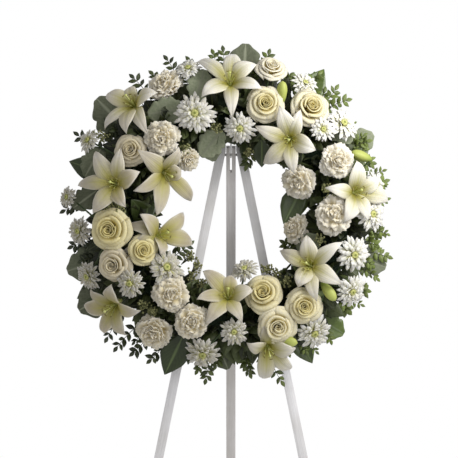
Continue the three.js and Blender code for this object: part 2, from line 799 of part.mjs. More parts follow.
// The short stem that holds a branch in the foam.
function branchStem({ root, joint }, thicken) {
  const end = along(root, joint.clone().sub(root).normalize(), -thicken * 3);
  const wide = branchStemRadius + thicken;
  return rod([end, joint], [wide, wide], stemSides);
}

const solids = [];
const branchRooms = branches.map((branch) => branchStem(branch, gap));
planted.forEach(({ name, head, stem, material }, i) => {
  const others = [...stemRooms.filter((_, k) => k !== i), ...branchRooms];
  const ahead = planted.slice(0, i).map(({ room }) => room);
  const cut = head.subtract(join([...others, ...ahead]));
  solids.push({ name, solid: biggest(join([cut, stem])), material });
});

branches.forEach((branch, i) => {
  const count = branch.outer ? collarLeaves : collarLeaves + 1;
  const radius = branch.outer ? outerBranchRadius : innerBranchRadius;
  const leaves = [];
  for (let k = 0; k < count; k += 1) {
    const angle = branch.first + branch.span * (0.2 + (0.6 * k) / (count - 1));
    leaves.push(collarLeaf(radius, angle, branch.outer ? 1 : -1));
  }
  const whole = join([...branch.parts, ...leaves]);
  const others = branchRooms.filter((_, k) => k !== i);
  const cut = whole.subtract(join([...stemRooms, ...others, ...planted.map(({ room }) => room)]));
  solids.push({ name: branch.name, solid: biggest(join([cut, branchStem(branch, 0)])), material: leafGreen });
});

// The foam ring, with a plain hole for every stem, and its tray.
function ringProfile(points) {
  const profile = points.map(([radius, depth]) => new THREE.Vector2(radius, depth));
  return new THREE.LatheGeometry([...profile, profile[0]], ringSegments);
}

function solidOfGeometry(geometry, turn) {
  const points = [];
  const index = [];
  const known = new Map();
  const position = geometry.getAttribute('position');
  for (let i = 0; i < position.count; i += 1) {
    const point = new THREE.Vector3().fromBufferAttribute(position, i);
    const key = point.toArray().map((value) => Math.round(value * 1000)).join(' ');
    if (!known.has(key)) {
      known.set(key, points.length);
      points.push(turn ? point.applyMatrix4(turn) : point);
    }
    index.push(known.get(key));
  }
  const triangles = [];
  for (let i = 0; i < geometry.index.count; i += 3) {
    const [a, b, c] = [0, 1, 2].map((k) => index[geometry.index.getX(i + k)]);
    if (a !== b && b !== c && c !== a) {
      triangles.push([a, b, c]);
    }
  }
  return solidFrom(points, triangles);
}

const [foamIn, foamOut] = [ringRadius - foamHalfWidth, ringRadius + foamHalfWidth];
const foamRing = solidOfGeometry(ringProfile([
  [foamIn, foamBack], [foamOut, foamBack], [foamOut, foamFront + 16], [foamOut - 16, foamFront],
  [foamIn + 16, foamFront], [foamIn, foamFront + 16],
]));
const trayIn = foamIn - gap - trayWall;
const trayOut = foamOut + gap + trayWall;
const trayRing = solidOfGeometry(ringProfile([
  [trayIn, trayBack], [trayOut, trayBack], [trayOut, trayRim], [trayOut - trayWall, trayRim],
  [trayOut - trayWall, foamBack + gap], [trayIn + trayWall, foamBack + gap], [trayIn + trayWall, trayRim],
  [trayIn, trayRim],
]));
const holes = join([...stemRooms, ...branchRooms]);
solids.push({ name: 'foam_ring', solid: foamRing.subtract(holes), material: foamGreen });
solids.push({ name: 'ring_tray', solid: trayRing.subtract(holes), material: trayGreen });

// Easel. A stick's four long edges run from its top down to the floor, where they are cut level.
function onFloor(point, direction) {
  const height = (p) => wreathHeight - p.y * Math.sin(lean) + p.z * Math.cos(lean);
  const fall = direction.z * Math.cos(lean) - direction.y * Math.sin(lean);
  return along(point, direction, -height(point) / fall);
}

function stick(top, direction, across, depthways, width, depth) {
  const corners = [[1, 1], [-1, 1], [-1, -1], [1, -1]].map(([a, b]) =>
    along(along(top, across, (a * width) / 2), depthways, (b * depth) / 2));
  return loft([corners, corners.map((corner) => onFloor(corner, direction))]);
}

// A cutting block, as deep as the legs and more, from one height to another.
function upright(half, low, high) {
  const [front, back] = [-legDepth, legDepth * 2];
  const level = (z) => [vec(-half, front, z), vec(half, front, z), vec(half, back, z), vec(-half, back, z)];
  return loft([level(low), level(high)]);
}

const bolt = vec(0, legDepth / 2, boltHeight);
function frontLeg(side) {
  const direction = vec(side * Math.sin(legSplay), 0, -Math.cos(legSplay));
  const across = vec(Math.cos(legSplay), 0, side * Math.sin(legSplay));
  const pivot = vec(side * legAtBolt, legDepth / 2, boltHeight);
  const above = (legTop - boltHeight + legWidth) / Math.cos(legSplay);
  const leg = stick(along(pivot, direction, -above), direction, across, vec(0, 1, 0), legWidth, legDepth);
  const level = upright(3 * legAtBolt, legTop, legTop + legWidth * 2);
  const middle = upright(rearLegWidth / 2 + sideClearance, 0, legTop + legWidth * 2);
  return leg.subtract(join([level, middle, boltHole()]));
}

function boltHole() {
  const reach = legAtBolt + legWidth;
  const wide = boltRadius + boltClearance;
  return rod([vec(-reach, bolt.y, bolt.z), vec(reach, bolt.y, bolt.z)], [wide, wide], boltSides);
}

function rearLeg() {
  const direction = vec(0, Math.sin(rearSpread), -Math.cos(rearSpread));
  const depthways = vec(0, Math.cos(rearSpread), Math.sin(rearSpread));
  const top = along(bolt, direction, -rearLegTop);
  const leg = stick(top, direction, vec(1, 0, 0), depthways, rearLegWidth, rearLegDepth);
  const [left, right] = [vec(-slotWidth / 2, 0, 0), vec(slotWidth / 2, 0, 0)];
  const low = along(bolt, direction, slotBelowBolt);
  const high = along(bolt, direction, -rearLegTop - 5);
  const slot = loft([low, high].map((end) => {
    const [front, back] = [along(end, depthways, -rearLegDepth), along(end, depthways, rearLegDepth)];
    const corners = [[front, left], [front, right], [back, right], [back, left]];
    return corners.map(([at, side]) => at.clone().add(side));
  }));
  return leg.subtract(join([slot, boltHole()]));
}

const boltEnd = legAtBolt + legWidth / 2 / Math.cos(legSplay) + 2;
function acrossAt(x) {
  return vec(x, bolt.y, bolt.z);
}

function boltSolid() {
  const head = [acrossAt(-boltEnd - boltHeadLength), acrossAt(-boltEnd)];
  const shank = [acrossAt(-boltEnd - 1), acrossAt(boltEnd + boltHeadLength + boltThreadShown)];
  const headRod = rod(head, [boltHeadRadius, boltHeadRadius], boltSides);
  return join([headRod, rod(shank, [boltRadius, boltRadius], boltSides)]);
}

function nutSolid() {
  const ends = [acrossAt(boltEnd), acrossAt(boltEnd + boltHeadLength)];
  const boreEnds = [acrossAt(boltEnd - 1), acrossAt(boltEnd + boltHeadLength + 1)];
  const hexagon = rod(ends, [boltHeadRadius, boltHeadRadius], 6);
  return hexagon.subtract(rod(boreEnds, [boltRadius + gap, boltRadius + gap], boltSides));
}

// A flat strap in the rear leg's slot: an eye on the bolt, an upright, and an arm forward under the ring.
function hookSolid() {
  const top = ringRadius - foamHalfWidth - trayWall - 2 * gap - 0.4;
  const under = top - hookBar;
  const front = foamFront - 8;
  const upstand = top + hookTipRise;
  const [eyeFront, eyeBack] = [bolt.y - hookBar, bolt.y + hookBar];
  const outline = [
    [eyeFront, bolt.z - hookBar], [eyeBack - 1, bolt.z - hookBar], [eyeBack, bolt.z + 8], [eyeBack, top - 4],
    [eyeBack - 4, top], [front + hookBar, top], [front + hookBar - 2, upstand], [front, upstand],
    [front, under + 2], [front + 3, under], [eyeFront - 2, under], [eyeFront, under - hookBar],
  ];
  const shape = new THREE.Shape(outline.map(([y, z]) => new THREE.Vector2(y, z)));
  const plate = new THREE.ExtrudeGeometry(shape, { depth: hookThickness, bevelEnabled: false });
  const turn = new THREE.Matrix4().makeBasis(vec(0, 1, 0), vec(0, 0, 1), vec(1, 0, 0));
  turn.setPosition(-hookThickness / 2, 0, 0);
  return solidOfGeometry(indexed(plate), turn).subtract(boltHole());
}

function indexed(geometry) {
  if (!geometry.index) {
    geometry.setIndex([...Array(geometry.getAttribute('position').count).keys()]);
  }
  return geometry;
}

solids.push({ name: 'front_leg_left', solid: frontLeg(-1), material: whitePaint });
solids.push({ name: 'front_leg_right', solid: frontLeg(1), material: whitePaint });
solids.push({ name: 'rear_leg', solid: rearLeg(), material: greyPaint });
solids.push({ name: 'hinge_bolt', solid: boltSolid(), material: zincSteel });
solids.push({ name: 'hinge_nut', solid: nutSolid(), material: zincSteel });
solids.push({ name: 'wreath_hook', solid: hookSolid(), material: whitePaint });

const wreathOnEasel = new THREE.Group();
wreathOnEasel.rotation.x = -lean;
for (const { name, solid, material } of solids) {
  const { vertProperties, triVerts } = solid.getMesh();
  const geometry = new THREE.BufferGeometry();
  geometry.setAttribute('position', new THREE.BufferAttribute(new Float32Array(vertProperties), 3));
  geometry.setIndex(new THREE.BufferAttribute(new Uint32Array(triVerts), 1));
  geometry.computeVertexNormals();
  const mesh = new THREE.Mesh(geometry, material);
  mesh.name = name;
  wreathOnEasel.add(mesh);
}

// The whole is moved so that the middle of its footprint is over the origin and its feet are on the floor.
const group = new THREE.Group();
group.add(wreathOnEasel);
const bounds = new THREE.Box3().setFromObject(group, true);
const middleOfAll = bounds.getCenter(new THREE.Vector3());
group.position.set(-middleOfAll.x, -middleOfAll.y, -bounds.min.z);

export default group;
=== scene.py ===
import math
import random

import bmesh
import bpy
from mathutils import Matrix, Vector


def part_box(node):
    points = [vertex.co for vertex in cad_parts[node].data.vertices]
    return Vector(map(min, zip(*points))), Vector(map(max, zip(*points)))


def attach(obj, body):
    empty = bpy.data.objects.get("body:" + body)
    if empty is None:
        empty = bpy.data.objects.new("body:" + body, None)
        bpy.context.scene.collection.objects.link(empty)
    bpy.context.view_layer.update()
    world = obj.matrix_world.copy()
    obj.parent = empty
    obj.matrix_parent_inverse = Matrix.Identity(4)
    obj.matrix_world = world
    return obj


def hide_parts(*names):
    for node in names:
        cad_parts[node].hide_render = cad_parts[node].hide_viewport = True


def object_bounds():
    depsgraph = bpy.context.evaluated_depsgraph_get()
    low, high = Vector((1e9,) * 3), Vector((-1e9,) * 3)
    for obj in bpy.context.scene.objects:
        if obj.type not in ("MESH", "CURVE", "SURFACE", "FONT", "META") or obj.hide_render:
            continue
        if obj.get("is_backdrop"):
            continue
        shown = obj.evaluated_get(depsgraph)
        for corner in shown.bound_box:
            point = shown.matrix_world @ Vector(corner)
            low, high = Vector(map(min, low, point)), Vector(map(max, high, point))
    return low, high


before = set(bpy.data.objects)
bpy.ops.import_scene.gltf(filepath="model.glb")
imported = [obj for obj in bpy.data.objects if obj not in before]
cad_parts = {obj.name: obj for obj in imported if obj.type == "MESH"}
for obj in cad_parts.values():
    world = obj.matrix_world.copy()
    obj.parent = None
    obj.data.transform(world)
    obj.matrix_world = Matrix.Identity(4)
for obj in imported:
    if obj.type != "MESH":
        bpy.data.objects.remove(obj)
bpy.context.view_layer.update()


# The easel's three legs: square pine sticks, sawn level with the floor, that meet on one bolt at the top.
# They are painted white with a brush, so fine grain shows through. The corners are worn round, and the
# paint is darker towards the feet.
easel_body = "easel_and_wreath"
rear_leg_body = "rear_leg"
leg_splay = math.radians(11.5)
lean = math.radians(8)
rear_spread = math.radians(22)
worn_corner = 0.0009
corner_angle = math.radians(35)
grain_scale = 420
grain_stretch = 26
smudge_scale = 9
darkening_height = 0.6
darkening_at_floor = 0.6


def add_node(tree, kind, inputs=None, **settings):
    """A shader node with its settings made, and each input either linked to a socket or set to a value."""
    made = tree.nodes.new(kind)
    for name, value in settings.items():
        setattr(made, name, value)
    for name, value in (inputs or {}).items():
        if isinstance(value, bpy.types.NodeSocket):
            tree.links.new(value, made.inputs[name])
        else:
            made.inputs[name].default_value = value
    return made


def maths(tree, operation, *values):
    return add_node(tree, "ShaderNodeMath", dict(enumerate(values)), operation=operation).outputs[0]


def ranged(tree, value, start, end, low, high, **settings):
    """A value taken from start and end to low and high, and held between them."""
    inputs = {"Value": value, "From Min": start, "From Max": end, "To Min": low, "To Max": high}
    return add_node(tree, "ShaderNodeMapRange", inputs, **settings).outputs["Result"]


def mixed_colour(tree, factor, first, second, blend="MIX"):
    first, second = ((*value, 1) if isinstance(value, tuple) else value for value in (first, second))
    inputs = {"Factor": factor, "A": first, "B": second}
    return add_node(tree, "ShaderNodeMix", inputs, data_type="RGBA", blend_type=blend).outputs["Result"]


def shader_group(name, inputs, outputs):
    tree = bpy.data.node_groups.new(name, "ShaderNodeTree")
    for way, sockets in [("INPUT", inputs), ("OUTPUT", outputs)]:
        for label, kind in sockets.items():
            tree.interface.new_socket(label, in_out=way, socket_type="NodeSocket" + kind)
    return tree, tree.nodes.new("NodeGroupInput"), tree.nodes.new("NodeGroupOutput")


def new_material(name, **values):
    made = bpy.data.materials.new(name)
    made.use_nodes = True
    shader = made.node_tree.nodes["Principled BSDF"]
    for label, value in values.items():
        shader.inputs[label.replace("_", " ")].default_value = value
    return made, made.node_tree, shader


def linked(name, data):
    made = bpy.data.objects.new(name, data)
    bpy.context.scene.collection.objects.link(made)
    return made


def piece_from(bm, name, materials, body, replaced=(), place=None, sharp=None):
    mesh = bpy.data.meshes.new(name)
    bm.to_mesh(mesh)
    bm.free()
    if place is not None:
        mesh.transform(place)
    for material in materials:
        mesh.materials.append(material)
    if sharp is not None:
        mesh.set_sharp_from_angle(angle=sharp)
    made = linked(name, mesh)
    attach(made, body)
    if replaced:
        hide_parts(*replaced)
    return made


def rounded_copy(node, name, material, body, corner):
    """The node's own solid, its facets joined into flat faces and its corners rounded."""
    bm = bmesh.new()
    bm.from_mesh(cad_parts[node].data)
    bmesh.ops.remove_doubles(bm, verts=bm.verts, dist=0.00002)
    bmesh.ops.dissolve_limit(bm, angle_limit=0.02, verts=bm.verts, edges=bm.edges)
    corners = [e for e in bm.edges if e.is_manifold and e.calc_face_angle() > corner_angle]
    bmesh.ops.bevel(
        bm, geom=corners, offset=corner, affect="EDGES", segments=2, profile=0.5, material=-1,
        clamp_overlap=True,
    )
    for face in bm.faces:
        face.smooth = True
    piece_from(bm, name, [material], body, replaced=[node], sharp=corner_angle)


def mottle_group():
    """Soft blotches between a dark and a light colour, and the same blotches as a height."""
    tree, given, result = shader_group(
        "mottle",
        {"Vector": "Vector", "Scale": "Float", "Dark": "Color", "Light": "Color"},
        {"Color": "Color", "Height": "Float"},
    )
    noise = add_node(
        tree, "ShaderNodeTexNoise",
        {"Vector": given.outputs["Vector"], "Scale": given.outputs["Scale"], "Detail": 4.0, "Roughness": 0.6},
    )
    spread = ranged(tree, noise.outputs["Fac"], 0.35, 0.65, 0, 1)
    mixed = mixed_colour(tree, spread, given.outputs["Dark"], given.outputs["Light"])
    tree.links.new(mixed, result.inputs["Color"])
    tree.links.new(spread, result.inputs["Height"])
    return tree


mottle = mottle_group()


def mottled(tree, vector, scale, dark, light):
    inputs = {"Vector": vector, "Scale": scale, "Dark": (*dark, 1), "Light": (*light, 1)}
    return add_node(tree, "ShaderNodeGroup", inputs, node_tree=mottle).outputs


def bumped(tree, shader, height, distance, strength=1.0):
    bump = add_node(tree, "ShaderNodeBump", {"Height": height, "Distance": distance, "Strength": strength})
    tree.links.new(bump.outputs["Normal"], shader.inputs["Normal"])


def mottled_material(name, scale, dark, light, relief=None, **values):
    """A skin that wanders between two colours, with the same blotches as its relief."""
    made, tree, shader = new_material(name, **values)
    where = add_node(tree, "ShaderNodeTexCoord").outputs["Object"]
    blotches = mottled(tree, where, scale, dark, light)
    tree.links.new(blotches["Color"], shader.inputs["Base Color"])
    if relief:
        bumped(tree, shader, blotches["Height"], relief)
    return made


def painted_wood(name, direction, dark, light):
    made, tree, shader = new_material(name)
    where = add_node(tree, "ShaderNodeTexCoord").outputs["Object"]
    turn = Vector((0, 0, 1)).rotation_difference(direction).to_euler()
    along_grain = add_node(
        tree, "ShaderNodeMapping", {"Vector": where, "Rotation": turn, "Scale": (1, 1, grain_stretch)},
        vector_type="TEXTURE",
    )
    grain = mottled(tree, along_grain.outputs["Vector"], grain_scale, dark, light)
    smudges = mottled(tree, where, smudge_scale, (0.86, 0.85, 0.82), (1, 1, 1))
    height = add_node(tree, "ShaderNodeSeparateXYZ", {"Vector": where}).outputs["Z"]
    tinted = mixed_colour(tree, 1, grain["Color"], smudges["Color"], "MULTIPLY")
    # The paint is made darker towards the feet.
    darker_low = mixed_colour(tree, 1, tinted, ranged(tree, height, 0, darkening_height, darkening_at_floor, 1), "MULTIPLY")
    tree.links.new(darker_low, shader.inputs["Base Color"])
    tree.links.new(ranged(tree, grain["Height"], 0, 1, 0.42, 0.6), shader.inputs["Roughness"])
    bumped(tree, shader, grain["Height"], 0.0003)
    return made


leaning = Matrix.Rotation(-lean, 3, "X")
for side, leg in [(-1, "front_leg_left"), (1, "front_leg_right")]:
    down = leaning @ Vector((side * math.sin(leg_splay), 0, -math.cos(leg_splay)))
    paint = painted_wood(leg + "_paint", down, (0.79, 0.79, 0.82), (0.87, 0.87, 0.9))
    rounded_copy(leg, leg + "_stick", paint, easel_body, worn_corner)
down = leaning @ Vector((0, math.sin(rear_spread), -math.cos(rear_spread)))
# The rear leg's paint is a darker, warmer copy of the front legs', a painted shade for the leg that stands
# behind.
shaded_paint = painted_wood("rear_leg_paint", down, (0.76, 0.74, 0.74), (0.85, 0.83, 0.83))
rounded_copy("rear_leg", "rear_leg_stick", shaded_paint, rear_leg_body, worn_corner)


# The hinge bolt and its nut: zinc-plated steel, turned and then tumbled. They clamp the three legs side
# by side at the head of the easel.
small_corner = 0.0004
zinc = mottled_material(
    "zinc_plate", 520, (0.42, 0.42, 0.4), (0.66, 0.66, 0.63), 0.0001, Metallic=0.9, Roughness=0.34,
)
rounded_copy("hinge_bolt", "hinge_bolt_zinc", zinc, easel_body, small_corner)
rounded_copy("hinge_nut", "hinge_nut_zinc", zinc, easel_body, small_corner)


# The hook that carries the wreath: a flat steel strap with an eye on the bolt, bent forward under the
# foam ring. It is dipped in white enamel.
enamel = mottled_material(
    "hook_enamel", 160, (0.56, 0.56, 0.55), (0.74, 0.74, 0.73), 0.0002, Roughness=0.35,
)
rounded_copy("wreath_hook", "wreath_hook_strap", enamel, easel_body, small_corner)


# The ring tray: a shallow channel of dark green plastic, vacuum formed, that holds the wet foam. The
# wreath's own frame is set here: millimetres from the middle of the ring, x to the right, y to the back
# and z up the easel.
ring_radius = 197
foam_half = 31
foam_back = -3.2
foam_front = -52
foam_chamfer = 16
tray_back = -0.4
tray_rim = -9
tray_wall = 1.6
fit_gap = 0.35
ring_steps = 120
tray_middle = Vector((0, (tray_back + tray_rim) / 2, 0))

tray_low, tray_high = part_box("ring_tray")
to_metres = Matrix.Scale(0.001, 4)
wreath_centre = (tray_low + tray_high) / 2 - leaning @ (tray_middle * 0.001)
wreath_place = Matrix.Translation(wreath_centre) @ leaning.to_4x4() @ to_metres


def spun_ring(profile):
    bm = bmesh.new()
    corners = [bm.verts.new((radius, depth, 0)) for radius, depth in profile]
    sides = [bm.edges.new((corners[k - 1], corners[k])) for k in range(len(corners))]
    bmesh.ops.spin(
        bm, geom=[*corners, *sides], cent=(0, 0, 0), axis=(0, 1, 0), angle=2 * math.pi, steps=ring_steps,
        use_merge=True,
    )
    bmesh.ops.remove_doubles(bm, verts=bm.verts, dist=0.01)
    bmesh.ops.recalc_face_normals(bm, faces=bm.faces)
    for face in bm.faces:
        face.smooth = True
    return bm


plastic = mottled_material(
    "tray_plastic", 60, (0.012, 0.035, 0.018), (0.02, 0.055, 0.03), 0.0003, Roughness=0.38,
)
tray_in = ring_radius - foam_half - fit_gap - tray_wall
tray_out = ring_radius + foam_half + fit_gap + tray_wall
tray = spun_ring([
    (tray_in, tray_back - 1), (tray_in + 1, tray_back), (tray_out - 1, tray_back), (tray_out, tray_back - 1),
    (tray_out, tray_rim), (tray_out - tray_wall, tray_rim), (tray_out - tray_wall, foam_back + fit_gap),
    (tray_in + tray_wall, foam_back + fit_gap), (tray_in + tray_wall, tray_rim), (tray_in, tray_rim),
])
piece_from(
    tray, "ring_tray_channel", [plastic], easel_body, replaced=["ring_tray"], place=wreath_place,
    sharp=corner_angle,
)


# The foam ring: floral foam, a soft dark green crumb that drinks water. Its front corners are cut off,
# and its face is roughened by handling and by the stems pushed into it.
crumb = mottled_material(
    "wet_foam", 900, (0.008, 0.022, 0.009), (0.025, 0.05, 0.022), 0.0012, Roughness=0.95,
)
foam_in = ring_radius - foam_half
foam_out = ring_radius + foam_half
dent = 0.9
foam = spun_ring([
    (foam_in, foam_back), (foam_out, foam_back), (foam_out, foam_front + foam_chamfer),
    (foam_out - foam_chamfer / 2, foam_front + foam_chamfer / 3), (foam_out - foam_chamfer, foam_front),
    (ring_radius, foam_front), (foam_in + foam_chamfer, foam_front),
    (foam_in + foam_chamfer / 2, foam_front + foam_chamfer / 3), (foam_in, foam_front + foam_chamfer),
])
worn = random.Random(11)
for vert in foam.verts:
    if vert.co.y < foam_back - dent:
        vert.co += Vector((worn.uniform(-dent, dent), worn.uniform(-dent, dent), worn.uniform(-dent, dent)))
piece_from(foam, "foam_ring_crumb", [crumb], easel_body, replaced=["foam_ring"], place=wreath_place)


# The greens are cut first and pushed into the foam: twigs of small dark leaves all round the edge, broad
# glossy leaves and grey felted lobed leaves. Places are in the photograph's pixels, one of which is
# view_step millimetres.
view_step = 1.85
view_centre = (231, 217)
section_depth = -30
outer_branches = 8
inner_branches = 4
outer_branch_radius = 243
inner_branch_radius = 154
outer_root_radius = 212
inner_root_radius = 182
root_depth = -24
outer_branch_depth = -12
inner_branch_depth = -9
outer_tip_depth = -8
inner_tip_depth = -12
back_limit = -3.5
leaf_thickness = 0.00035
merge_distance = 0.02
sprig_leaf = 19
sprig_pairs = 4
side_veins = 9
leaf_lines = 14

sprig_tips = [
    (130, 72), (165, 53), (213, 47), (270, 47), (293, 70), (322, 68), (352, 96), (58, 210), (66, 247),
    (72, 132), (103, 343), (205, 386), (250, 380), (283, 388), (352, 316), (372, 294), (394, 258),
    (388, 234), (391, 180), (372, 140), (246, 168), (192, 243), (112, 352), (130, 358), (188, 54), (224, 44),
    (300, 72), (150, 68), (340, 84), (378, 160), (148, 366), (282, 242),
]
oval_tips = [(314, 366), (161, 358), (326, 66), (66, 160), (70, 258), (74, 300), (244, 160), (290, 206)]
# Each felted leaf's tint is listed with it: partly the leaf's own tone and partly painted light and shade.
lobed_tips = [
    ((94, 96), 0.2), ((246, 40), 0.15), ((376, 132), 0.8), ((228, 372), 0.1), ((214, 160), 1.0),
    ((76, 312), 0.1), ((389, 268), 0.4), ((64, 272), 0.3), ((346, 336), 1.0),
]
glossy_lobed = [(346, 336)]

to_viewer = Vector((0, -1, 0))


def face_on(place):
    """A place in the photograph as a point in the wreath's frame."""
    return Vector(((place[0] - view_centre[0]) * view_step, 0, (view_centre[1] - place[1]) * view_step))


def spoke(angle):
    return Vector((math.cos(angle), 0, math.sin(angle)))


def sheet(bm, columns, rows, shape, tint=0.5, finish=0):
    """A grid, each point moved to shape(across, along): across is -1 to 1 and along is 0 to 1."""
    uv = bm.loops.layers.uv.verify()
    tints = bm.verts.layers.float.get("tint") or bm.verts.layers.float.new("tint")
    made = bmesh.ops.create_grid(bm, x_segments=columns, y_segments=rows, size=1)["verts"]
    for face in {f for vert in made for f in vert.link_faces}:
        face.smooth = True
        face.material_index = finish
        for loop in face.loops:
            loop[uv].uv = ((loop.vert.co.x + 1) / 2, (loop.vert.co.y + 1) / 2)
    for vert in made:
        vert[tints] = tint
        vert.co = shape(vert.co.x, (vert.co.y + 1) / 2)


def curve_through(points):
    """A function of 0 to 1 that runs straight from each (place, value) pair to the next."""
    def value(t):
        for (t0, v0), (t1, v1) in zip(points, points[1:]):
            if t <= t1:
                return v0 + (v1 - v0) * (t - t0) / (t1 - t0)
        return points[-1][1]
    return value


def bent(points, t):
    """A point at t on the Bezier curve of the given control points."""
    while len(points) > 1:
        points = [a.lerp(b, t) for a, b in zip(points, points[1:])]
    return points[0]


def bent_way(points, t):
    return (bent(points, min(1, t + 0.01)) - bent(points, max(0, t - 0.01))).normalized()


def sides_of(way):
    """Two directions square to a stem's own, whichever way it runs."""
    right = way.cross(Vector((0.31, 0.85, 0.42))).normalized()
    return right, way.cross(right)


def tube(bm, points, radius, columns=6, rows=6, tint=0.5, finish=0):
    """A stem along a Bezier curve, its skin rolled from a sheet and drawn to a point at both ends."""
    ends = 1 / (rows + 2)

    def shape(across, along):
        t = min(1, max(0, (along - ends) / (1 - 2 * ends)))
        right, up = sides_of(bent_way(points, t))
        wide = 0 if along < ends / 2 or along > 1 - ends / 2 else radius(t)
        angle = across * math.pi
        return bent(points, t) + right * (wide * math.cos(angle)) + up * (wide * math.sin(angle))

    sheet(bm, columns, rows + 2, shape, tint, finish)


def pod(bm, foot, way, length, radius, profile, lobes=0, columns=10, rows=8, tint=0.5, finish=0):
    """A closed bud, button or anther round a straight axis, its sheet rolled up and drawn in at both ends."""
    right, up = sides_of(way)

    def shape(across, t):
        angle = across * math.pi
        wide = radius * profile(t) * (1 + 0.07 * math.cos(lobes * angle) if lobes else 1)
        return foot + way * (length * t) + right * (wide * math.cos(angle)) + up * (wide * math.sin(angle))

    sheet(bm, columns, rows, shape, tint, finish)


round_profile = curve_through([
    (0, 0), (0.08, 0.5), (0.25, 0.88), (0.5, 1), (0.75, 0.88), (0.92, 0.5), (1, 0),
])
bud_profile = curve_through([(0, 0), (0.08, 0.45), (0.3, 0.82), (0.6, 1), (0.8, 0.86), (0.93, 0.5), (1, 0)])

oval_outline = curve_through([
    (0, 0.1), (0.12, 0.42), (0.3, 0.88), (0.45, 1), (0.65, 0.84), (0.85, 0.42), (1, 0.02),
])
slim_outline = curve_through([(0, 0.12), (0.25, 0.8), (0.5, 1), (0.75, 0.7), (1, 0.03)])


def lobed_outline(t):
    body = math.sin(math.pi * min(1, 0.06 + 0.92 * t)) ** 0.7
    return body * (0.78 + 0.22 * abs(math.sin(math.pi * (0.1 + 4.2 * t ** 0.9)))) + 0.03


def leaf(bm, foot, way, face, length, half, outline, bend=0.16, fold=0.22, cells=(2, 5), tint=0.5, finish=0):
    """One leaf from its foot along way, its upper side towards face, kept in front of the tray's back."""
    across = way.cross(face).normalized()
    up = across.cross(way).normalized()

    def shape(side, t):
        wide = half * outline(t)
        lift = fold * abs(side) * wide - bend * length * t * t
        point = foot + way * (length * t) + across * (side * wide) + up * lift
        point.y = min(point.y, back_limit)
        return point

    sheet(bm, *cells, shape, tint, finish)


def on_branch(radius, angle):
    depth = outer_branch_depth if radius > ring_radius else inner_branch_depth
    return spoke(angle) * radius + Vector((0, depth, 0))


def green_tip(place):
    flat = face_on(place)
    flat.y = outer_tip_depth if flat.length > ring_radius else inner_tip_depth
    return flat


grown = random.Random(5)
sway = grown.uniform


def leaf_painted_light(point):
    """Painted light and shade for a leaf: lighter on the right and darker on the left, with a random spread
    from leaf to leaf.
    """
    return min(1, max(0, 0.36 + point.x / 550 + sway(-0.25, 0.25)))


def sprig(leaves, twigs, start, tip, leaf_length, bare=0.3):
    """A twig of small leaves, in pairs that turn a little at each step, with one leaf at its end."""
    reach = tip - start
    bow = Vector((reach.z, 0, -reach.x)) * sway(-0.16, 0.16) + Vector((0, sway(-8, 0), 0))
    path = [start, start + reach * 0.5 + bow, tip - reach.normalized() * leaf_length * 0.5]
    tube(twigs, path, lambda t: 1.2 - 0.7 * t, columns=5, rows=4, tint=0.3)
    # Every leaf of the twig gets a painted light and shade by where it grows as its tint.
    for k in range(sprig_pairs):
        t = bare + (1 - bare) * (k + 0.5) / sprig_pairs
        foot = bent(path, t)
        way = bent_way(path, t)
        turn = sway(-0.8, 0.8)
        out = way.cross(to_viewer).normalized()
        spread = (out * math.cos(turn) + to_viewer * math.sin(turn)).normalized()
        for side in (-1, 1):
            heading = (way * sway(0.5, 0.95) + spread * side).normalized()
            face = (Vector((sway(-0.5, 0.5), -1, sway(-0.1, 0.6)))).normalized()
            size = leaf_length * sway(0.85, 1.12) * (1.08 - 0.25 * t)
            leaf(leaves, foot, heading, face, size, size * 0.27, oval_outline, cells=(2, 4),
                 tint=leaf_painted_light(foot))
    leaf(leaves, bent(path, 1), bent_way(path, 1), Vector((0.1, -1, 0.2)), leaf_length * 0.8,
         leaf_length * 0.22, oval_outline, cells=(2, 4), tint=leaf_painted_light(tip))


def veins_group():
    """Masks for a middle rib, side veins and fine lines along it, from a leaf's or petal's own UV map."""
    tree, given, result = shader_group(
        "veins",
        {"UV": "Vector", "Side veins": "Float", "Lines": "Float"},
        {"Rib": "Float", "Side": "Float", "Fine": "Float"},
    )
    parts = add_node(tree, "ShaderNodeSeparateXYZ", {"Vector": given.outputs["UV"]}).outputs
    away = maths(tree, "ABSOLUTE", maths(tree, "SUBTRACT", parts["X"], 0.5))
    climb = maths(tree, "SUBTRACT", parts["Y"], maths(tree, "MULTIPLY", away, 0.8))
    step = maths(tree, "PINGPONG", maths(tree, "MULTIPLY", climb, given.outputs["Side veins"]), 0.5)
    fine = maths(tree, "PINGPONG", maths(tree, "MULTIPLY", parts["X"], given.outputs["Lines"]), 0.5)
    tree.links.new(ranged(tree, away, 0.015, 0.07, 1, 0), result.inputs["Rib"])
    tree.links.new(ranged(tree, step, 0.02, 0.12, 1, 0), result.inputs["Side"])
    tree.links.new(ranged(tree, fine, 0, 0.4, 1, 0), result.inputs["Fine"])
    return tree


veins = veins_group()


def skin_inputs(tree, side_count, line_count):
    """What a leaf and a petal share: own UV map, tint, place on the object and the masks of the veins."""
    own = add_node(tree, "ShaderNodeUVMap").outputs["UV"]
    tint = add_node(tree, "ShaderNodeAttribute", attribute_name="tint").outputs["Fac"]
    where = add_node(tree, "ShaderNodeTexCoord").outputs["Object"]
    inputs = {"UV": own, "Side veins": side_count, "Lines": line_count}
    return own, tint, where, add_node(tree, "ShaderNodeGroup", inputs, node_tree=veins).outputs


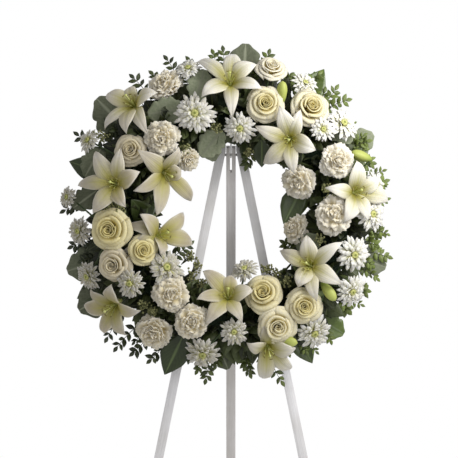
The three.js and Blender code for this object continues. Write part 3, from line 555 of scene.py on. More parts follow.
def leaf_material(name, dark, light, rib, roughness, vein_show=0.35, **values):
    """Tint goes from dark to light leaf by leaf, partly the leaves' own tone and partly painted light and
    shade; the ribs are paler, and the blade is a little mottled.
    """
    made, tree, shader = new_material(name, Roughness=roughness, **values)
    _, tint, where, pattern = skin_inputs(tree, side_veins, leaf_lines)
    spots = mottled(tree, where, 210, (0.72, 0.76, 0.7), (1, 1, 1))
    blade = mixed_colour(tree, 1, mixed_colour(tree, tint, dark, light), spots["Color"], "MULTIPLY")
    either = maths(tree, "MAXIMUM", maths(tree, "MULTIPLY", pattern["Side"], vein_show), pattern["Rib"])
    tree.links.new(mixed_colour(tree, either, blade, rib), shader.inputs["Base Color"])
    bumped(tree, shader, either, 0.0004, 0.6)
    return made


small_leaf_green = leaf_material(
    "small_leaf", (0.02, 0.03, 0.01), (0.2, 0.26, 0.05), (0.1, 0.13, 0.04), 0.45,
)
glossy_green = leaf_material(
    "glossy_leaf", (0.03, 0.046, 0.014), (0.12, 0.17, 0.04), (0.1, 0.14, 0.05), 0.32, vein_show=0.15,
)
felt_green = leaf_material(
    "felted_leaf", (0.1, 0.11, 0.07), (0.32, 0.35, 0.24), (0.26, 0.28, 0.2), 0.9, vein_show=0.15,
    Sheen_Weight=0.2,
)
base_green = leaf_material(
    "base_leaf", (0.01, 0.014, 0.006), (0.11, 0.14, 0.045), (0.09, 0.11, 0.04), 0.5,
)
twig_brown = mottled_material(
    "twig_bark", 300, (0.035, 0.04, 0.015), (0.09, 0.1, 0.035), 0.0003, Roughness=0.7,
)

twigs = bmesh.new()


def branch_leaves(index, count, radius):
    """The leaves of one branch; its own rod and twigs go in with all the others."""
    leaves = bmesh.new()
    outer = radius > ring_radius
    span = 2 * math.pi / count
    first = index * span
    stops = [on_branch(radius, first + span * share) for share in (0.08, 0.36, 0.64, 0.92)]
    tube(twigs, stops, lambda t: 2, rows=8, tint=0.4)
    middle = first + span / 2
    foot = on_branch(outer_root_radius if outer else inner_root_radius, middle)
    foot.y = root_depth
    tube(twigs, [foot, on_branch(radius, middle)], lambda t: 2.1, rows=2, tint=0.4)

    def nearest(place):
        flat = face_on(place)
        angle = math.atan2(flat.z, flat.x) % (2 * math.pi)
        mine = int(angle / span) == index and (flat.length > ring_radius) == outer
        return min(max(angle, first + span * 0.12), first + span * 0.88) if mine else None

    for place in sprig_tips:
        angle = nearest(place)
        if angle is not None:
            sprig(leaves, twigs, on_branch(radius, angle), green_tip(place), sprig_leaf)
    for place, tint in [(place, None) for place in oval_tips] + lobed_tips:
        angle = nearest(place)
        if angle is None:
            continue
        start = on_branch(radius, angle)
        way = green_tip(place) - start
        length = way.length
        way.normalize()
        if tint is None:
            # An oval leaf gets a painted light and shade by where it grows as its tint.
            leaf(leaves, start, way, to_viewer, length, length * 0.3, oval_outline, bend=0.06,
                 cells=(6, 10), tint=leaf_painted_light(start), finish=1)
        else:
            leaf(leaves, start, way, to_viewer, length, length * 0.42, lobed_outline, bend=0.05,
                 fold=0.12, cells=(6, 30), tint=tint, finish=1 if place in glossy_lobed else 2)
    extra = 7 if outer else 5
    for k in range(extra):
        angle = first + span * (0.1 + 0.8 * (k + sway(0.2, 0.8)) / extra)
        heading = spoke(angle) * (1 if outer else -1)
        reach = sway(40, 62) if outer else sway(18, 30)
        tip = on_branch(radius, angle) + heading * reach + Vector((0, sway(-14, 2), 0))
        sprig(leaves, twigs, on_branch(radius, angle), tip, sway(13, 18), bare=0.25)
    return leaves


def in_wreath(bm, name, materials, replaced=(), thickness=None, merge=merge_distance):
    """A piece of the wreath, the sheets that meet in it joined and, for leaves and petals, made solid."""
    bmesh.ops.remove_doubles(bm, verts=bm.verts, dist=merge)
    made = piece_from(bm, name, materials, easel_body, replaced=replaced, place=wreath_place)
    if thickness:
        skin = made.modifiers.new("skin", "SOLIDIFY")
        skin.thickness = thickness
        skin.offset = 0


for branches, radius, kind in [
    (outer_branches, outer_branch_radius, "outer_greens"),
    (inner_branches, inner_branch_radius, "inner_greens"),
]:
    for index in range(branches):
        node = f"{kind}_0{index + 1}"
        in_wreath(
            branch_leaves(index, branches, radius), node + "_leaves",
            [small_leaf_green, glossy_green, felt_green], [node], leaf_thickness,
        )


# Behind and between the blooms lie broad dark leaves and many short ones, which leave no light through
# the ring. A few felted and glossy leaves lie over them in the widest gaps.
golden_turn = math.pi * (3 - math.sqrt(5))
broad_leaves = 120
broad_foot = 24
cover_leaves = 1150
cover_foot = 27
felt, glossy = 1, 2
# The third value is each leaf's tint: partly its own tone and partly painted light and shade.
gap_leaves = [
    ((184, 108), (147, 114), 0.8, felt), ((196, 100), (204, 68), 0.9, felt),
    ((222, 130), (200, 156), 1.0, felt), ((100, 148), (84, 176), 0.25, felt),
    ((96, 190), (72, 208), 0.1, felt), ((300, 252), (318, 236), 0.6, felt),
    ((150, 222), (132, 200), 0.3, glossy), ((330, 118), (352, 142), 0.9, felt),
    ((184, 334), (164, 376), 0, glossy), ((303, 186), (284, 224), 0.2, glossy),
    ((262, 138), (262, 167), 0, glossy), ((148, 196), (146, 222), 0, glossy),
    ((140, 262), (128, 248), 0, glossy),
]
gap_reach = 66
gap_foot_share = 0.8
edge_share = 0.9

cover = bmesh.new()
for k in range(broad_leaves):
    angle = k * golden_turn
    side = -1 if k % 3 == 2 else 1
    heading = angle + sway(-0.5, 0.5)
    foot = spoke(angle) * (ring_radius + side * broad_foot)
    foot.y = sway(-34, -8)
    way = Vector((math.cos(heading) * side, sway(-0.25, 0), math.sin(heading) * side)).normalized()
    face = Vector((sway(-0.4, 0.4), -1, sway(-0.3, 0.4))).normalized()
    length = sway(48, 68) if side > 0 else sway(26, 40)
    leaf(cover, foot, way, face, length, length * sway(0.24, 0.32), oval_outline, bend=0.05,
         cells=(2, 6), tint=grown.random() ** 2)
for k in range(cover_leaves):
    angle = k * golden_turn
    turn = math.radians(sway(-98, 98))
    radial = spoke(angle)
    tangent = Vector((-math.sin(angle), 0, math.cos(angle)))
    out = radial * math.sin(turn) + to_viewer * math.cos(turn)
    foot = radial * ring_radius + Vector((0, section_depth, 0)) + out * cover_foot
    way = (out + tangent * sway(-0.9, 0.9) + radial * sway(-0.4, 0.4)).normalized()
    face = to_viewer + radial * sway(-0.8, 0.8) + tangent * sway(-0.8, 0.8)
    length = sway(26, 46)
    leaf(cover, foot, way, face.normalized(), length, length * sway(0.2, 0.3), slim_outline,
         bend=sway(0, 0.3), cells=(2, 4), tint=grown.random() ** 1.5)


def in_gap(place, reach):
    """A place in the photograph, on a round section of the given reach about the foam ring."""
    flat = face_on(place)
    offset = min(max(flat.length - ring_radius, -edge_share * reach), edge_share * reach)
    flat.y = section_depth - math.sqrt(reach * reach - offset * offset)
    return flat


for foot_place, tip_place, tint, finish in gap_leaves:
    foot = in_gap(foot_place, gap_reach * gap_foot_share)
    way = in_gap(tip_place, gap_reach) - foot
    length = way.length
    share, outline = (0.4, lobed_outline) if finish == felt else (0.32, oval_outline)
    leaf(cover, foot, way.normalized(), to_viewer, length, length * share, outline, bend=0.04, fold=0.12,
         cells=(6, 24), tint=tint, finish=finish)
in_wreath(
    cover, "cover_leaves", [base_green, felt_green, glossy_green], thickness=leaf_thickness,
)


# Seeded eucalyptus: clusters of olive seed cases on thin twigs, tucked in between the blooms. Each cluster
# stands on the foam, and its cases lie a little below the faces of the blooms.
seeds_in_cluster = 40
cluster_reach = 72
cluster_spread = 4.8
cluster_foot = 20
seed_clusters = [
    (189, 257), (196, 266), (191, 276), (201, 283), (110, 206), (120, 209), (143, 305), (152, 311),
    (268, 270), (277, 275), (287, 281), (327, 189), (331, 199), (101, 136), (185, 148), (217, 128),
    (250, 150), (320, 240),
]
seed_skin = mottled_material("seed_skin", 160, (0.1, 0.11, 0.035), (0.3, 0.3, 0.13), Roughness=0.6)
seeds = bmesh.new()
for at in seed_clusters:
    flat = face_on(at)
    radial = flat.normalized()
    lift = min(max((flat.length - ring_radius) / cluster_reach, -edge_share), edge_share)
    middle = Vector((flat.x, section_depth - cluster_reach * math.sqrt(1 - lift * lift), flat.z))
    foot = radial * (ring_radius + lift * cluster_foot)
    foot.y = section_depth
    for k in range(seeds_in_cluster):
        away = Vector((grown.gauss(0, 1), grown.gauss(0, 0.7), grown.gauss(0, 1))) * cluster_spread
        spot = middle + away
        way = (spot - foot).normalized()
        if k % 4 == 0:
            tube(twigs, [middle.lerp(foot, 0.3), middle + away * 0.3, spot], lambda t: 0.5, 4, 3)
        pod(seeds, spot, way, sway(3.8, 5.4), sway(1.7, 2.4), round_profile, columns=5,
            rows=4)
in_wreath(seeds, "seeded_sprays", [seed_skin])


# The lilies: six thick white petals that leave a narrow green throat, arch out and bend back at their
# pointed tips, with a groove down the middle of each. Six anthers on thin stalks and one stigma stand in
# front of the throat.
bloom_tilt = 0.72
steepest = 0.94
lily_throat = 60
lily_petals = 6
lily_inner_width = 0.82
usual_petal = 38
lily_tips_reach = 99
hidden_tips_reach = 64
bud_reach = 85
bud_forward = 0.35
bud_length = 46
bud_radius = 10
stem_radius = 2.4
root_spread = 0.22
root_limit = 18
petal_thickness = 0.0007
line_show = 0.16

lilies = [
    ((138, 110), [(103.5, 93), (132, 85.5), (157, 92), (148, 135), (126, 133), (103.5, 128)], None),
    ((230, 88), [(233, 52), (195, 60), (201.5, 97), (232, 118), (257, 63), (262, 89)], None),
    ((291, 138), [(279, 107), (300, 111), (315, 151), (294, 174), (263, 164), (255, 127)],
     ((282, 93), (0.05, 1))),
    ((118, 185), [(95, 151), (121, 148.5), (140, 172), (77, 185), (93, 213), (126, 207)], None),
    ((161, 170), [(139, 151), (180, 148), (182, 171), (191.5, 201), (158, 216), (135, 192)], None),
    ((153, 237), [(142, 214), (183, 212), (192.5, 244), (162, 254)], None),
    ((311.6, 267), [(306, 235), (280, 251), (297, 286.5), (316, 301), (341, 284), (341, 242)],
     ((328, 291), (0.6, -0.8))),
    ((228, 302), [(203, 270.5), (197, 298), (207, 323), (242, 321), (253, 290), (230, 275)], None),
    ((120, 301), [(81, 307), (101, 335), (126, 337), (140, 311), (111, 285), (89, 289)], None),
    ((266, 342), [(263.5, 381), (293, 370.5), (296, 349), (247, 343)], ((286, 341), (1, -0.15))),
    ((351, 193), [(357, 161), (380, 177), (390, 200), (368, 220), (344, 222), (325, 188)],
     ((362, 156), (-0.9, 0.3))),
]


def seat(place, reach):
    """Where a bloom sits over the foam: its centre, the way it faces, its way out and how far out it is."""
    flat = face_on(place)
    radial = flat.normalized()
    offset = flat.length - ring_radius
    lift = min(max(offset / reach, -steepest), steepest)
    tilt = lift * bloom_tilt
    facing = radial * tilt + Vector((0, -math.sqrt(1 - tilt * tilt), 0))
    centre = Vector((flat.x, section_depth - reach * math.sqrt(1 - lift * lift), flat.z))
    return centre, facing, radial, offset


def head_frame(centre, facing, spin=0.0):
    """A function from a bloom's own x, y and height to the wreath's frame."""
    side = Vector((0, 0, 1)).cross(facing).normalized()
    top = facing.cross(side)
    across = side * math.cos(spin) + top * math.sin(spin)
    up = facing.cross(across)
    return lambda x, y, z: centre + across * x + up * y + facing * z


def stem_to(top, radial, offset, rows=3):
    """A stem from its hole in the foam to the top given. What comes back is its root."""
    root = radial * (ring_radius + min(max(offset * root_spread, -root_limit), root_limit))
    root.y = root_depth
    tube(stems, [root, top], lambda t: stem_radius, rows=rows)
    return root


def bloom_piece(bm, kind, index, skins, part="petals", thickness=petal_thickness, merge=merge_distance):
    node = f"{kind}_{index:02d}"
    in_wreath(bm, f"{node}_{part}", skins, [node], thickness, merge)


def all_tips(at, tips):
    """The tips that show, and lower ones in the middle of the widest spaces between them, six in all."""
    offsets = [(x - at[0], y - at[1]) for x, y in tips]
    spokes = [(math.atan2(y, x), math.hypot(x, y), lily_tips_reach) for x, y in offsets]
    usual = min(usual_petal, max(length for _, length, _ in spokes)) * 0.92
    while len(spokes) < lily_petals:
        spokes.sort()
        ends = [angle for angle, _, _ in spokes[1:]] + [spokes[0][0] + 2 * math.pi]
        space, start = max((end - angle, angle) for (angle, _, _), end in zip(spokes, ends))
        spokes.append((start + space / 2, usual, hidden_tips_reach))
    made = []
    for angle, length, reach in spokes:
        flat = face_on((at[0] + length * math.cos(angle), at[1] + length * math.sin(angle)))
        offset = flat.length - ring_radius
        flat.y = section_depth - reach * math.sqrt(max(0, 1 - (offset / reach) ** 2))
        made.append(flat)
    return made


shaped = random.Random(21)
vary = shaped.uniform


def painted_light_share(point, spread=0.2):
    """Painted light and shade for a bloom: more light at the top and right, less low on the left and round
    the hole.
    """
    outward = Vector((point.x, 0, point.z)).length - ring_radius
    share = 0.5 + point.x / 480 + point.z / 700 + outward / 400 + vary(-spread, spread)
    return min(1, max(0, share))


lily_width = curve_through([
    (0, 4), (0.1, 7.5), (0.22, 11.5), (0.36, 15.4), (0.48, 17.2), (0.58, 17), (0.7, 14.4), (0.8, 10.8),
    (0.89, 6.6), (0.95, 3.2), (1, 0.3),
])


def lily_petal(bm, base, facing, tip, widen, tint):
    to_tip = tip - base
    sideways = to_tip - facing * to_tip.dot(facing)
    across = sideways.cross(facing).normalized()
    points = [base, base + facing * 30 + sideways * 0.1, base + facing * 47 + sideways * 0.62, tip]
    phase = vary(0, 6)
    waves = vary(1.6, 2.4)
    sweep = vary(-3, 3)

    def shape(side, t):
        inner = across.cross(bent_way(points, t)).normalized()
        wide = lily_width(t) * widen
        groove = 1.2 * math.exp(-(side / 0.14) ** 2) * min(1, 4 * t * (1.05 - t))
        arch = 0.2 * wide * (1 - side * side) - groove
        ripple = 1.6 * side * side * t * math.sin(2 * math.pi * waves * t + phase + (1.4 if side > 0 else 0))
        hook = -4 * max(0, (t - 0.8) / 0.2) ** 2
        flat = bent(points, t) + across * (side * wide + sweep * math.sin(math.pi * t))
        return flat + inner * (arch + ripple) + facing * hook

    sheet(bm, 10, 18, shape, tint)


def petal_material(name, pale, shade_and_heart, foot, glow_ends, lines, roughness, margin=0.65, rib=None, rib_show=0,
                   **values):
    """Greenish from the foot up to glow_ends, with fine lines. Low tint gives the shade colour, a painted
    shade that in roses and carnations is also the heart's own colour; the margins are lighter, partly a
    painted highlight.
    """
    made, tree, shader = new_material(name, Roughness=roughness, **values)
    own, tint, where, pattern = skin_inputs(tree, 1, lines)
    parts = add_node(tree, "ShaderNodeSeparateXYZ", {"Vector": own}).outputs
    away = maths(tree, "ABSOLUTE", maths(tree, "SUBTRACT", parts["X"], 0.5))
    low = ranged(tree, parts["Y"], *glow_ends, 1, 0, interpolation_type="SMOOTHSTEP")
    glow = maths(tree, "MULTIPLY", low, ranged(tree, away, 0.15, 0.5, 1, 0.5))
    # The margins are lifted towards pale: partly the petal's own paler edge and partly a painted highlight.
    side_rim = ranged(tree, away, 0.32, 0.5, 0, margin)
    end_rim = ranged(tree, parts["Y"], 0.76, 1, 0, margin)
    lightness = maths(tree, "MAXIMUM", tint, maths(tree, "MAXIMUM", side_rim, end_rim))
    body = mixed_colour(tree, lightness, shade_and_heart, pale)
    body = mixed_colour(tree, maths(tree, "MULTIPLY", pattern["Fine"], line_show), body, shade_and_heart)
    cloud = mottled(tree, where, 60, (0.93, 0.92, 0.9), (1, 1, 1))
    body = mixed_colour(tree, 1, body, cloud["Color"], "MULTIPLY")
    if rib:
        fade = ranged(tree, parts["Y"], 0.2, 0.8, rib_show, 0)
        body = mixed_colour(tree, maths(tree, "MULTIPLY", pattern["Rib"], fade), body, rib)
    tree.links.new(mixed_colour(tree, glow, body, foot), shader.inputs["Base Color"])
    bumped(tree, shader, pattern["Fine"], 0.0003, 0.5)
    return made


soft_petal = {"Subsurface_Weight": 0.3, "Subsurface_Scale": 0.006, "Subsurface_Radius": (1, 0.88, 0.6)}
lily_white = petal_material(
    "lily_petal_skin", (0.86, 0.83, 0.74), (0.44, 0.385, 0.29), (0.32, 0.29, 0.04), (0.22, 0.88), 9, 0.6,
    rib=(0.42, 0.43, 0.1), rib_show=0.8, **soft_petal,
)
throat_green = mottled_material(
    "lily_throat_green", 240, (0.42, 0.46, 0.1), (0.62, 0.64, 0.26), Roughness=0.5,
)
anther_brown = mottled_material(
    "anther_pollen", 1400, (0.13, 0.12, 0.03), (0.3, 0.26, 0.08), 0.0003, Roughness=0.9,
)
bud_skin = petal_material(
    "lily_bud_skin", (0.52, 0.55, 0.16), (0.32, 0.39, 0.07), (0.17, 0.25, 0.03), (0, 0.5), 3, 0.55,
)
stem_green = mottled_material(
    "stem_skin", 190, (0.02, 0.04, 0.01), (0.06, 0.1, 0.03), 0.0002, Roughness=0.5,
)

stems = bmesh.new()
hearts = bmesh.new()


for index, (at, tips, bud) in enumerate(lilies, start=1):
    centre, facing, radial, offset = seat(at, lily_throat)
    bloom = bmesh.new()
    for k, tip in enumerate(all_tips(at, tips)):
        # Each petal's tint is a painted light and shade, set by where its tip lies.
        lily_petal(bloom, centre, facing, tip, lily_inner_width if k % 2 else 1, painted_light_share(tip))
    bloom_piece(bloom, "lily", index, [lily_white])
    place = head_frame(centre, facing, 0.3)
    pod(hearts, place(0, 0, -5), facing, 20, 5.5, bud_profile)
    for k in range(6):
        angle = k * math.pi / 3 + 0.5 + vary(-0.2, 0.2)
        c, s = math.cos(angle), math.sin(angle)
        tall = vary(36, 46)
        wide = vary(8, 14)
        stalk = [place(2 * c, 2 * s, 6), place(3 * c, 3 * s, 26), place(wide * c, wide * s, tall)]
        tube(hearts, stalk, lambda t: 0.75 - 0.25 * t, columns=5, rows=5)
        lying = (place(-s, c, 0.25) - place(0, 0, 0)).normalized()
        pod(hearts, stalk[-1] - lying * 4, lying, 8, 1.3, round_profile, columns=7, rows=6, finish=1)
    tube(hearts, [place(0, 0, 5), place(1, 0, 30), place(0, 1.5, 50)], lambda t: 0.9 + 0.3 * t, rows=5)
    pod(hearts, place(0, 1.5, 49), facing, 5, 2.6, round_profile, lobes=3, columns=12, rows=6)
    root = stem_to(centre, radial, offset)
    if bud:
        bud_centre = seat(bud[0], bud_reach)[0]
        way = Vector((bud[1][0], -bud_forward, bud[1][1])).normalized()
        pod(hearts, bud_centre - way * (bud_length / 2), way, bud_length, bud_radius, bud_profile, lobes=3,
            columns=18, rows=12, finish=2)
        low = root.lerp(centre, 0.4)
        tube(stems, [low, low.lerp(bud_centre, 0.5), bud_centre - way * 21], lambda t: 1.7, rows=5)
in_wreath(hearts, "lily_hearts", [throat_green, anther_brown, bud_skin])


# The roses: twenty cream petals each, wound one over the next round a closed bud. Each is a deep cup that
# rises from the hip and rolls over at its lip, and they open wider towards the outside. Two on the left
# have a darker copy of the petal skin, a painted shade.
rose_face = 86
roses = [
    ((265, 104), 34, 0.5), ((311, 107), 36, 0.45), ((272, 66), 28, 0.05), ((110, 229.5), 37, 0.55),
    ((143.5, 250), 27, 0.62), ((113.5, 265), 31, 0.2), ((263, 293), 35, 0.5), ((277.5, 326), 34, 0.15),
    ((304, 306), 32, 0.5), ((131, 150), 29, 0.6),
]
shaded_roses = (6, 10)
rose_layers = [
    (2, 0.1, 0.36, 105, 0.02), (2, 0.2, 0.4, 105, 0.06), (2, 0.31, 0.41, 100, 0.12),
    (3, 0.43, 0.38, 78, 0.22), (3, 0.64, 0.29, 76, 0.36), (3, 0.85, 0.12, 74, 0.4),
    (5, 1.0, -0.04, 46, 0.42),
]
hip = -0.6


def rose_petal(bm, place, radius, lip, height, half_angle, roll, centre_angle, tint):
    phase = vary(0, 6)
    lean_out = vary(-0.04, 0.06)
    point_out = vary(0.02, 0.07)

    def shape(side, t):
        angle = centre_angle + side * half_angle * (0.72 + 0.28 * math.sin(math.pi * t / 2))
        point = point_out * max(0, 1 - abs(side) * 2.2)
        edge = lip * (1 - 0.06 * side * side + point) + lean_out * lip * side
        top = height - 0.16 * (0.35 + lip) * side ** 4 + 0.012 * math.sin(3 * side + phase)
        rim = Vector((edge * (1 + 0.35 * roll), top - roll * 0.62 * lip, 0))
        crest = Vector((edge * (0.86 - 0.3 * roll), top + 0.22 * roll, 0))
        flank = Vector((edge * 0.7, hip + 0.5 * (height - hip), 0))
        profile = bent([Vector((0.1, hip, 0)), flank, crest, rim], t)
        wave = 0.02 * lip * math.sin(4 * side + phase) * t * t
        away = profile.x + 0.04 * side * t
        high = radius * (profile.y + wave)
        return place(radius * away * math.cos(angle), radius * away * math.sin(angle), high)

    sheet(bm, 10, 10, shape, tint)


rose_cream = petal_material(
    "rose_petal_skin", (0.84, 0.79, 0.65), (0.7, 0.6, 0.23), (0.64, 0.52, 0.15), (0.2, 0.9), 12, 0.7,
    margin=0.2, **soft_petal,
)
# A darker copy of the rose skin: a painted shade for two roses on the left.
rose_shaded_skin = petal_material(
    "rose_petal_shaded", (0.74, 0.68, 0.57), (0.6, 0.52, 0.32), (0.5, 0.41, 0.19), (0.2, 0.9), 12, 0.7,
    margin=0.3, **soft_petal,
)
for index, (at, radius, yellow) in enumerate(roses, start=1):
    centre, facing, radial, offset = seat(at, rose_face)
    place = head_frame(centre, facing, vary(0, 6))
    bloom = bmesh.new()
    for layer, (count, lip, height, half_angle, roll) in enumerate(rose_layers):
        # The tint yellows the heart and leaves the outer petals cream, times a painted light and shade by
        # where the rose sits.
        tint = max(0, 1 - 2 * yellow * (1.05 - 0.9 * lip)) * (0.5 + 0.5 * painted_light_share(centre, 0))
        for k in range(count):
            angle = 2 * math.pi * k / count + layer * 1.1 + vary(-0.25, 0.25)
            own_lip = lip * vary(0.9, 1.0)
            own_height = height + vary(-0.04, 0.04)
            own_roll = roll * vary(0.6, 1.1)
            rose_petal(bloom, place, radius, own_lip, own_height, math.radians(half_angle), own_roll, angle,
                       tint)
    bloom_piece(bloom, "rose", index, [rose_shaded_skin if index in shaded_roses else rose_cream])
    pod(stems, place(0, 0, -radius * 0.85), facing, radius * 0.3, radius * 0.24, bud_profile, columns=12,
        rows=6)
    for k in range(5):
        angle = k * 2 * math.pi / 5
        way = (place(math.cos(angle), math.sin(angle), -0.5) - centre).normalized()
        leaf(stems, place(0, 0, -radius * 0.6), way, -facing, radius * 0.7, radius * 0.1, slim_outline,
             bend=-0.3)
    stem_to(place(0, 0, -radius * 0.8), radial, offset)


# The carnations: about fifty fringed petals each, packed in a green tube and folded where they spread out
# of it, so that the head is one ruffled dome.
carnation_face = 80
carnations = [
    ((165, 84.5), 35), ((162.5, 138.5), 34), ((337, 161.5), 35), ((333, 214.5), 38), ((171, 293.5), 36),
    ((153.5, 332), 36), ((192, 321), 34), ((299, 182), 34), ((296, 229), 29), ((188, 159), 24),
]
carnation_whorls = [
    (9, 98, 0.46), (9, 82, 0.46), (8, 66, 0.42), (7, 51, 0.36), (6, 37, 0.31), (5, 23, 0.26), (3, 9, 0.22),
]


def staggered(k, count, whorl, spread):
    """The angle of petal k of a whorl, set between those of the whorl before and moved a little."""
    return 2 * math.pi * (k + 0.5 * (whorl % 2)) / count + vary(-spread, spread)


def carnation_petal(bm, place, radius, polar, azimuth, broad, tint):
    out = Vector((math.cos(azimuth), math.sin(azimuth), 0))
    along_rim = Vector((-math.sin(azimuth), math.cos(azimuth), 0))
    axis = Vector((0, 0, 1))
    end = out * (radius * math.sin(polar)) + axis * (radius * (0.6 * math.cos(polar) - 0.06))
    foot = out * (0.1 * radius * math.sin(polar)) - axis * (0.5 * radius)
    control = out * (0.45 * radius * math.sin(polar)) + axis * (radius * (0.56 * math.cos(polar) - 0.02))
    points = [foot, control, end]
    folds = vary(2.6, 4.4)
    phase = vary(0, 6)
    leanings = vary(-0.12, 0.12)
    curl = vary(-0.08, 0.1)

    def shape(side, t):
        way = bent_way(points, t)
        normal = along_rim.cross(way).normalized()
        half = radius * (0.05 + (broad - 0.05) * t ** 1.2)
        ruffle = radius * 0.1 * t ** 2 * math.sin(folds * side + phase)
        fringe = radius * (0.035 * math.sin(11 * side + phase) + 0.02 * math.sin(27 * side)) * t ** 4
        back = radius * (0.2 * side * side * t + curl * t ** 3)
        moved = bent(points, t) + along_rim * (side * half + leanings * radius * t)
        moved += normal * (ruffle - curl * radius * t ** 3) + way * (fringe - back)
        return place(*moved)

    sheet(bm, 14, 6, shape, tint)


carnation_white = petal_material(
    "carnation_petal_skin", (0.88, 0.85, 0.76), (0.6, 0.52, 0.34), (0.56, 0.44, 0.17), (0.3, 1), 9, 0.85,
    **soft_petal,
)
for index, (at, radius) in enumerate(carnations, start=1):
    centre, facing, radial, offset = seat(at, carnation_face)
    place = head_frame(centre, facing, vary(0, 6))
    bloom = bmesh.new()
    for whorl, (count, polar, broad) in enumerate(carnation_whorls):
        for k in range(count):
            azimuth = staggered(k, count, whorl, 0.15)
            reach = radius * vary(0.8, 1.03)
            # The tint is a painted light and shade by where the head sits, and lower for the inner whorls,
            # towards the beige of the heart.
            carnation_petal(bloom, place, reach, math.radians(polar + vary(-9, 7)), azimuth, broad,
                            painted_light_share(centre, 0.3) * 0.4 + polar / 170)
    pod(bloom, place(0, 0, -radius * 0.5), facing, radius * 0.86, radius * 0.56, round_profile, columns=16,
        rows=8, tint=0.2)
    bloom_piece(bloom, "carnation", index, [carnation_white])
    pod(stems, place(0, 0, -radius), facing, radius * 0.75, radius * 0.2, bud_profile, columns=12, rows=6)
    stem_to(place(0, 0, -radius * 0.95), radial, offset)


# The daisy chrysanthemums: sprays of several heads on one stem, each with whorls of narrow white rays, the
# outer ones flat and the inner ones upright, round a button of yellow-green florets with a dark green eye.
mum_face = 84
fork_reach = 42
small_head = 27
ray_thickness = petal_thickness * 0.7
button_share = 0.15
floret_count = 60
sprays = [
    [((195, 114), 40), ((188, 68), 26)],
    [((240, 128), 33)],
    [((342.5, 124), 36), ((322.5, 130), 26), ((305, 83), 28)],
    [((371, 214), 35), ((376, 184), 25)],
    [((353, 254.5), 36), ((351, 291), 34), ((313.5, 332), 37)],
    [((203, 353), 36), ((234, 331), 28), ((245, 270.5), 28)],
    [((166, 268), 37), ((130.5, 283), 29)],
    [((88, 276), 31), ((79, 231), 30), ((67, 197), 22)],
    [((88, 140), 25)],
]
mum_whorls = [(20, 1.0, -0.04), (18, 0.88, 0.06), (15, 0.72, 0.15), (12, 0.54, 0.23), (8, 0.38, 0.29)]
ray_outline = curve_through([(0, 0.4), (0.35, 0.7), (0.7, 1), (0.86, 1), (0.95, 0.75), (1, 0.3)])


def mum_ray(bm, place, radius, azimuth, reach, tip_height, tint):
    out = Vector((math.cos(azimuth), math.sin(azimuth), 0))
    rim = Vector((-math.sin(azimuth), math.cos(azimuth), 0))
    half = radius * 0.088
    arch = vary(0.02, 0.11)
    sweep = vary(-0.1, 0.1)

    def shape(side, t):
        away = radius * (0.08 + (reach - 0.08) * t)
        tall = radius * (0.02 + (tip_height - 0.02) * t + arch * math.sin(math.pi * t))
        wide = half * ray_outline(t) * side
        cup = abs(wide) * 0.35
        return place(*(out * away + rim * (wide + sweep * radius * t * t) + Vector((0, 0, tall + cup))))

    sheet(bm, 2, 6, shape, tint)


mum_white = petal_material(
    "mum_ray_skin", (0.9, 0.89, 0.83), (0.42, 0.39, 0.31), (0.48, 0.47, 0.12), (0.2, 0.84), 3, 0.62,
    **soft_petal,
)
floret_green, tree, shader = new_material("mum_floret", Roughness=0.7)
tint = add_node(tree, "ShaderNodeAttribute", attribute_name="tint").outputs["Fac"]
where = add_node(tree, "ShaderNodeTexCoord").outputs["Object"]
grains = mottled(tree, where, 900, (0.8, 0.8, 0.75), (1, 1, 1))
button = mixed_colour(tree, tint, (0.24, 0.28, 0.05), (0.66, 0.66, 0.26))
tree.links.new(mixed_colour(tree, 1, button, grains["Color"], "MULTIPLY"), shader.inputs["Base Color"])


def mum_head(bm, at, radius):
    centre, facing, radial, _ = seat(at, mum_face)
    place = head_frame(centre, facing, vary(0, 6))
    whorls = mum_whorls if radius >= small_head else mum_whorls[:-1]
    for whorl, (count, reach, height) in enumerate(whorls):
        for k in range(count):
            azimuth = staggered(k, count, whorl, 0.14)
            own_reach = reach * vary(0.8, 1.04)
            own_height = height + vary(-0.1, 0.08)
            # The rays' tint is a painted light and shade by where the head sits.
            mum_ray(bm, place, radius, azimuth, own_reach, own_height, painted_light_share(centre, 0.3))
    button_radius = radius * button_share
    for k in range(floret_count):
        share = math.sqrt((k + 0.5) / floret_count)
        angle = k * golden_turn
        tall = radius * 0.2 + button_radius * 0.4 * math.sqrt(1 - share * share)
        spot = place(button_radius * share * math.cos(angle), button_radius * share * math.sin(angle), tall)
        size = radius * 0.036
        pod(bm, spot - facing * size * 1.5, facing, size * 3.2, size, round_profile, columns=4, rows=3,
            tint=0.0 if share < 0.4 else vary(0.6, 1.0), finish=1)
    return centre, facing, radial


for index, heads in enumerate(sprays, start=1):
    bloom = bmesh.new()
    seats = [mum_head(bloom, at, radius) for at, radius in heads]
    bloom_piece(bloom, "mum_spray", index, [mum_white, floret_green], "rays", ray_thickness,
                merge_distance / 2)
    facing = sum((seated[1] for seated in seats), Vector()).normalized()
    radial = sum((seated[2] for seated in seats), Vector()).normalized()
    fork = radial * ring_radius + Vector((0, section_depth, 0)) + facing * fork_reach
    stem_to(fork, radial, facing.dot(radial) * mum_face, rows=2)
    for (centre, head_facing, _), (_, radius) in zip(seats, heads):
        tube(stems, [fork, centre - head_facing * 6], lambda t: stem_radius * 0.8, rows=3)
        pod(stems, centre - head_facing * 9, head_facing, 12, radius * 0.24, bud_profile, columns=10, rows=5)

in_wreath(stems, "bloom_stems", [stem_green])
in_wreath(twigs, "green_twigs", [twig_brown])


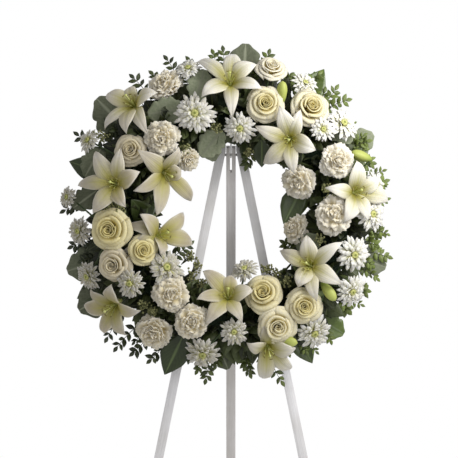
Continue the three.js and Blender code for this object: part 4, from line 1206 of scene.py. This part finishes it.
# The room: a plain white floor under the feet and an even pale surround, with a small lamp high on the
# right and a larger one on the right in front. The camera looks straight at the face of the wreath, as
# the photograph does.
picture_width = 458
camera_distance = 4.6
bloom_plane = -0.09
sensor_width = 36
floor_half = 1.7
white_wall = 1.0
wall_light = 0.52
wall_hue = (1, 0.985, 0.985)

floor_paint = mottled_material("floor_paint", 5, (0.8, 0.8, 0.79), (0.84, 0.84, 0.83), Roughness=0.8)
floor_mesh = bmesh.new()
bmesh.ops.create_grid(floor_mesh, x_segments=4, y_segments=4, size=floor_half)
mesh = bpy.data.meshes.new("floor")
floor_mesh.to_mesh(mesh)
floor_mesh.free()
mesh.materials.append(floor_paint)
floor = linked("floor", mesh)
floor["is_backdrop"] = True

world = bpy.data.worlds.new("studio")
bpy.context.scene.world = world
world.use_nodes = True
tree = world.node_tree
backdrop = tree.nodes["Background"]
seen = add_node(tree, "ShaderNodeLightPath").outputs["Is Camera Ray"]
tree.links.new(ranged(tree, seen, 0, 1, wall_light, white_wall), backdrop.inputs["Strength"])
tree.links.new(mixed_colour(tree, seen, wall_hue, (1, 1, 1)), backdrop.inputs["Color"])
bpy.context.scene.view_settings.view_transform = "Standard"


def lamp(name, position, power, size, colour):
    light = bpy.data.lights.new(name, "AREA")
    light.energy = power
    light.color = colour
    light.size = size
    made = linked(name, light)
    made.location = wreath_place @ Vector(position)
    made.rotation_euler = (wreath_centre - made.location).to_track_quat("-Z", "Y").to_euler()


lamp("key_lamp", (740, -620, 540), 9.6, 0.5, (1, 0.985, 0.95))
lamp("front_lamp", (1150, -1600, 200), 8.6, 1.2, (1, 1, 1))

aim_x = (picture_width / 2 - view_centre[0]) * view_step
aim_z = (view_centre[1] - picture_width / 2) * view_step
camera_data = bpy.data.cameras.new("camera")
camera_data.sensor_width = sensor_width
camera_data.lens = sensor_width * (camera_distance + bloom_plane) / (picture_width * view_step * 0.001)
camera_data.clip_end = 40
camera = linked("camera", camera_data)
camera.location = wreath_place @ Vector((aim_x, -camera_distance * 1000, aim_z))
camera.rotation_euler = (leaning @ Matrix.Rotation(math.radians(90), 3, "X")).to_euler()
bpy.context.scene.camera = camera

low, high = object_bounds()
